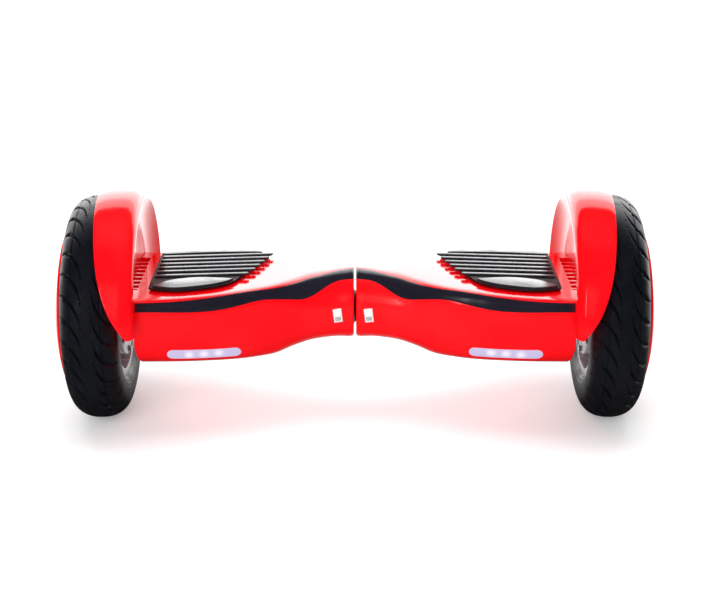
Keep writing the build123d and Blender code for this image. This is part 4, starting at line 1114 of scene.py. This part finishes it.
@dataclass
class Studio:
    """Pale floor, soft lights and the camera."""

    distance: float = 1.75
    elevation_deg: float = 19.0
    lens: float = 77.5
    rise: float = 0.0081
    floor_reach: float = 9.0
    floor_rows: tuple[float, ...] = (-9.0, -2.0, 0.0, 2.0, 4.0)
    bend: float = 2.0
    bend_steps: int = 12
    wall_top: float = 9.0
    floor_tone: Colour = (0.92, 0.92, 0.92)
    floor_mirrored: Colour = (0.06, 0.06, 0.06)
    sky_tone: Colour = (0.55, 0.55, 0.55)
    sky_mirrored: Colour = (0.015, 0.015, 0.018)
    seen_reach: Pair = (1.0, 4.0)
    seen_levels: Pair = (0.22, 0.8)
    mirrored_reach: Pair = (0.0, 0.6)
    mirrored_levels: Pair = (0.0, 2.2)
    aim: Point = (0.0, 0.0, 0.13)
    boxes: tuple[Softbox, ...] = (
        Softbox("back_panel", (0.0, 2.3, 1.1), (4.4, 1.9), 40.0, True),
        Softbox("top_panel", (0.0, 0.1, 2.4), (2.6, 1.4), 30.0, False),
        Softbox("front_panel", (-0.7, -2.6, 1.2), (2.0, 1.4), 46.0, False),
        Softbox("strip", (-1.3, -2.0, 0.9), (0.12, 1.0), 1.6, True),
    )

    def floor(self) -> bpy.types.Object:
        """Wide pale floor that curves up behind.

        Returns:
            The floor.
        """
        profile = [(y, 0.0) for y in self.floor_rows]
        flat_end = self.floor_rows[-1]
        for step in range(1, self.bend_steps + 1):
            turn = math.pi / 2 * step / self.bend_steps
            profile.append((flat_end + self.bend * math.sin(turn), self.bend * (1 - math.cos(turn))))
        profile.append((flat_end + self.bend, self.wall_top))
        points = [(x, y, z) for x in (-self.floor_reach, self.floor_reach) for y, z in profile]
        count = len(profile)
        faces = [(i, i + 1, count + i + 1, count + i) for i in range(count - 1)]
        piece = mesh_piece("studio_floor", points, faces)
        piece.data.materials.append(self.floor_paint())
        return piece

    def floor_paint(self) -> bpy.types.Material:
        """Pale matt paint that glossy surfaces see as dark in front and bright behind.

        Returns:
            The material.
        """
        paint = bpy.data.materials.new("floor_paint")
        paint.use_nodes = True
        tree = paint.node_tree
        shader = tree.nodes["Principled BSDF"]
        shader.inputs["Roughness"].default_value = 0.9
        shader.inputs["Specular IOR Level"].default_value = 0.1
        rays = tree.nodes.new("ShaderNodeLightPath").outputs
        tone = colour_mix(tree, rays["Is Glossy Ray"], 1.0, self.floor_tone, self.floor_mirrored)
        tree.links.new(tone, shader.inputs["Base Color"])
        seen = self.behind(tree, rays["Is Camera Ray"], self.seen_reach, self.seen_levels)
        mirrored = self.behind(tree, rays["Is Glossy Ray"], self.mirrored_reach, self.mirrored_levels)
        tree.links.new(math_step(tree, "ADD", seen, mirrored), shader.inputs["Emission Color"])
        shader.inputs["Emission Strength"].default_value = 1.0
        return paint

    @staticmethod
    def behind(tree: Tree, rays: Socket, reach: Pair, levels: Pair) -> Socket:
        """Level that changes towards the back of the floor, for one kind of ray.

        Args:
            tree: the floor's tree.
            rays: which rays it is for.
            reach: where along Y the level starts and stops changing.
            levels: level at the two ends.

        Returns:
            The level's socket.
        """
        place = tree.nodes.new("ShaderNodeNewGeometry")
        split = tree.nodes.new("ShaderNodeSeparateXYZ")
        tree.links.new(place.outputs["Position"], split.inputs[0])
        return math_step(tree, "MULTIPLY", rescale(tree, split.outputs["Y"], reach, levels), rays)

    def lights(self) -> None:
        """Soft even light, with a wide bright panel above and behind that the tops mirror."""
        world = bpy.data.worlds.new("studio")
        world.use_nodes = True
        tree = world.node_tree
        sky = tree.nodes["Background"]
        sky.inputs["Strength"].default_value = 1.0
        rays = tree.nodes.new("ShaderNodeLightPath").outputs
        tone = colour_mix(tree, rays["Is Glossy Ray"], 1.0, self.sky_tone, self.sky_mirrored)
        tree.links.new(tone, sky.inputs["Color"])
        bpy.context.scene.world = world
        for box in self.boxes:
            box.hang(self.aim)

    def camera(self) -> None:
        """Camera on the board's middle line, looking down at the middle of its wheels."""
        low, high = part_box("left_tyre")
        target = Vector((0.0, 0.0, (low.z + high.z) / 2))
        lift = math.radians(self.elevation_deg)
        back = Vector((0.0, -math.cos(lift), math.sin(lift)))
        data = bpy.data.cameras.new("camera")
        data.lens = self.lens
        data.sensor_width = 36.0
        data.shift_y = self.rise
        eye = bpy.data.objects.new("camera", data)
        eye.location = target + back * self.distance
        eye.rotation_euler = (-back).to_track_quat("-Z", "Y").to_euler()
        bpy.context.scene.collection.objects.link(eye)
        bpy.context.scene.camera = eye

    def build(self) -> None:
        """Set up floor, lights, camera and colour."""
        self.floor()
        self.lights()
        self.camera()
        bpy.context.scene.view_settings.view_transform = "Standard"
        bpy.context.scene.view_settings.look = "None"


def main() -> None:
    """Build the studio, then each sub-assembly in turn."""
    logging.basicConfig(level=logging.INFO, format="%(name)s: %(message)s")
    Studio().build()
    shop = Shop()
    LOG.info("dressed %d carried-over pieces", Dresser(shop).build())
    for side in Side:
        LOG.info("made %s", Tyre(side).build(shop).name)
        LOG.info("made %d pad pieces on the %s", len(FootPad(side).build(shop)), side.word)
        LOG.info("made %s", Label(side).build(shop).name)


if __name__ == "__main__":
    main()
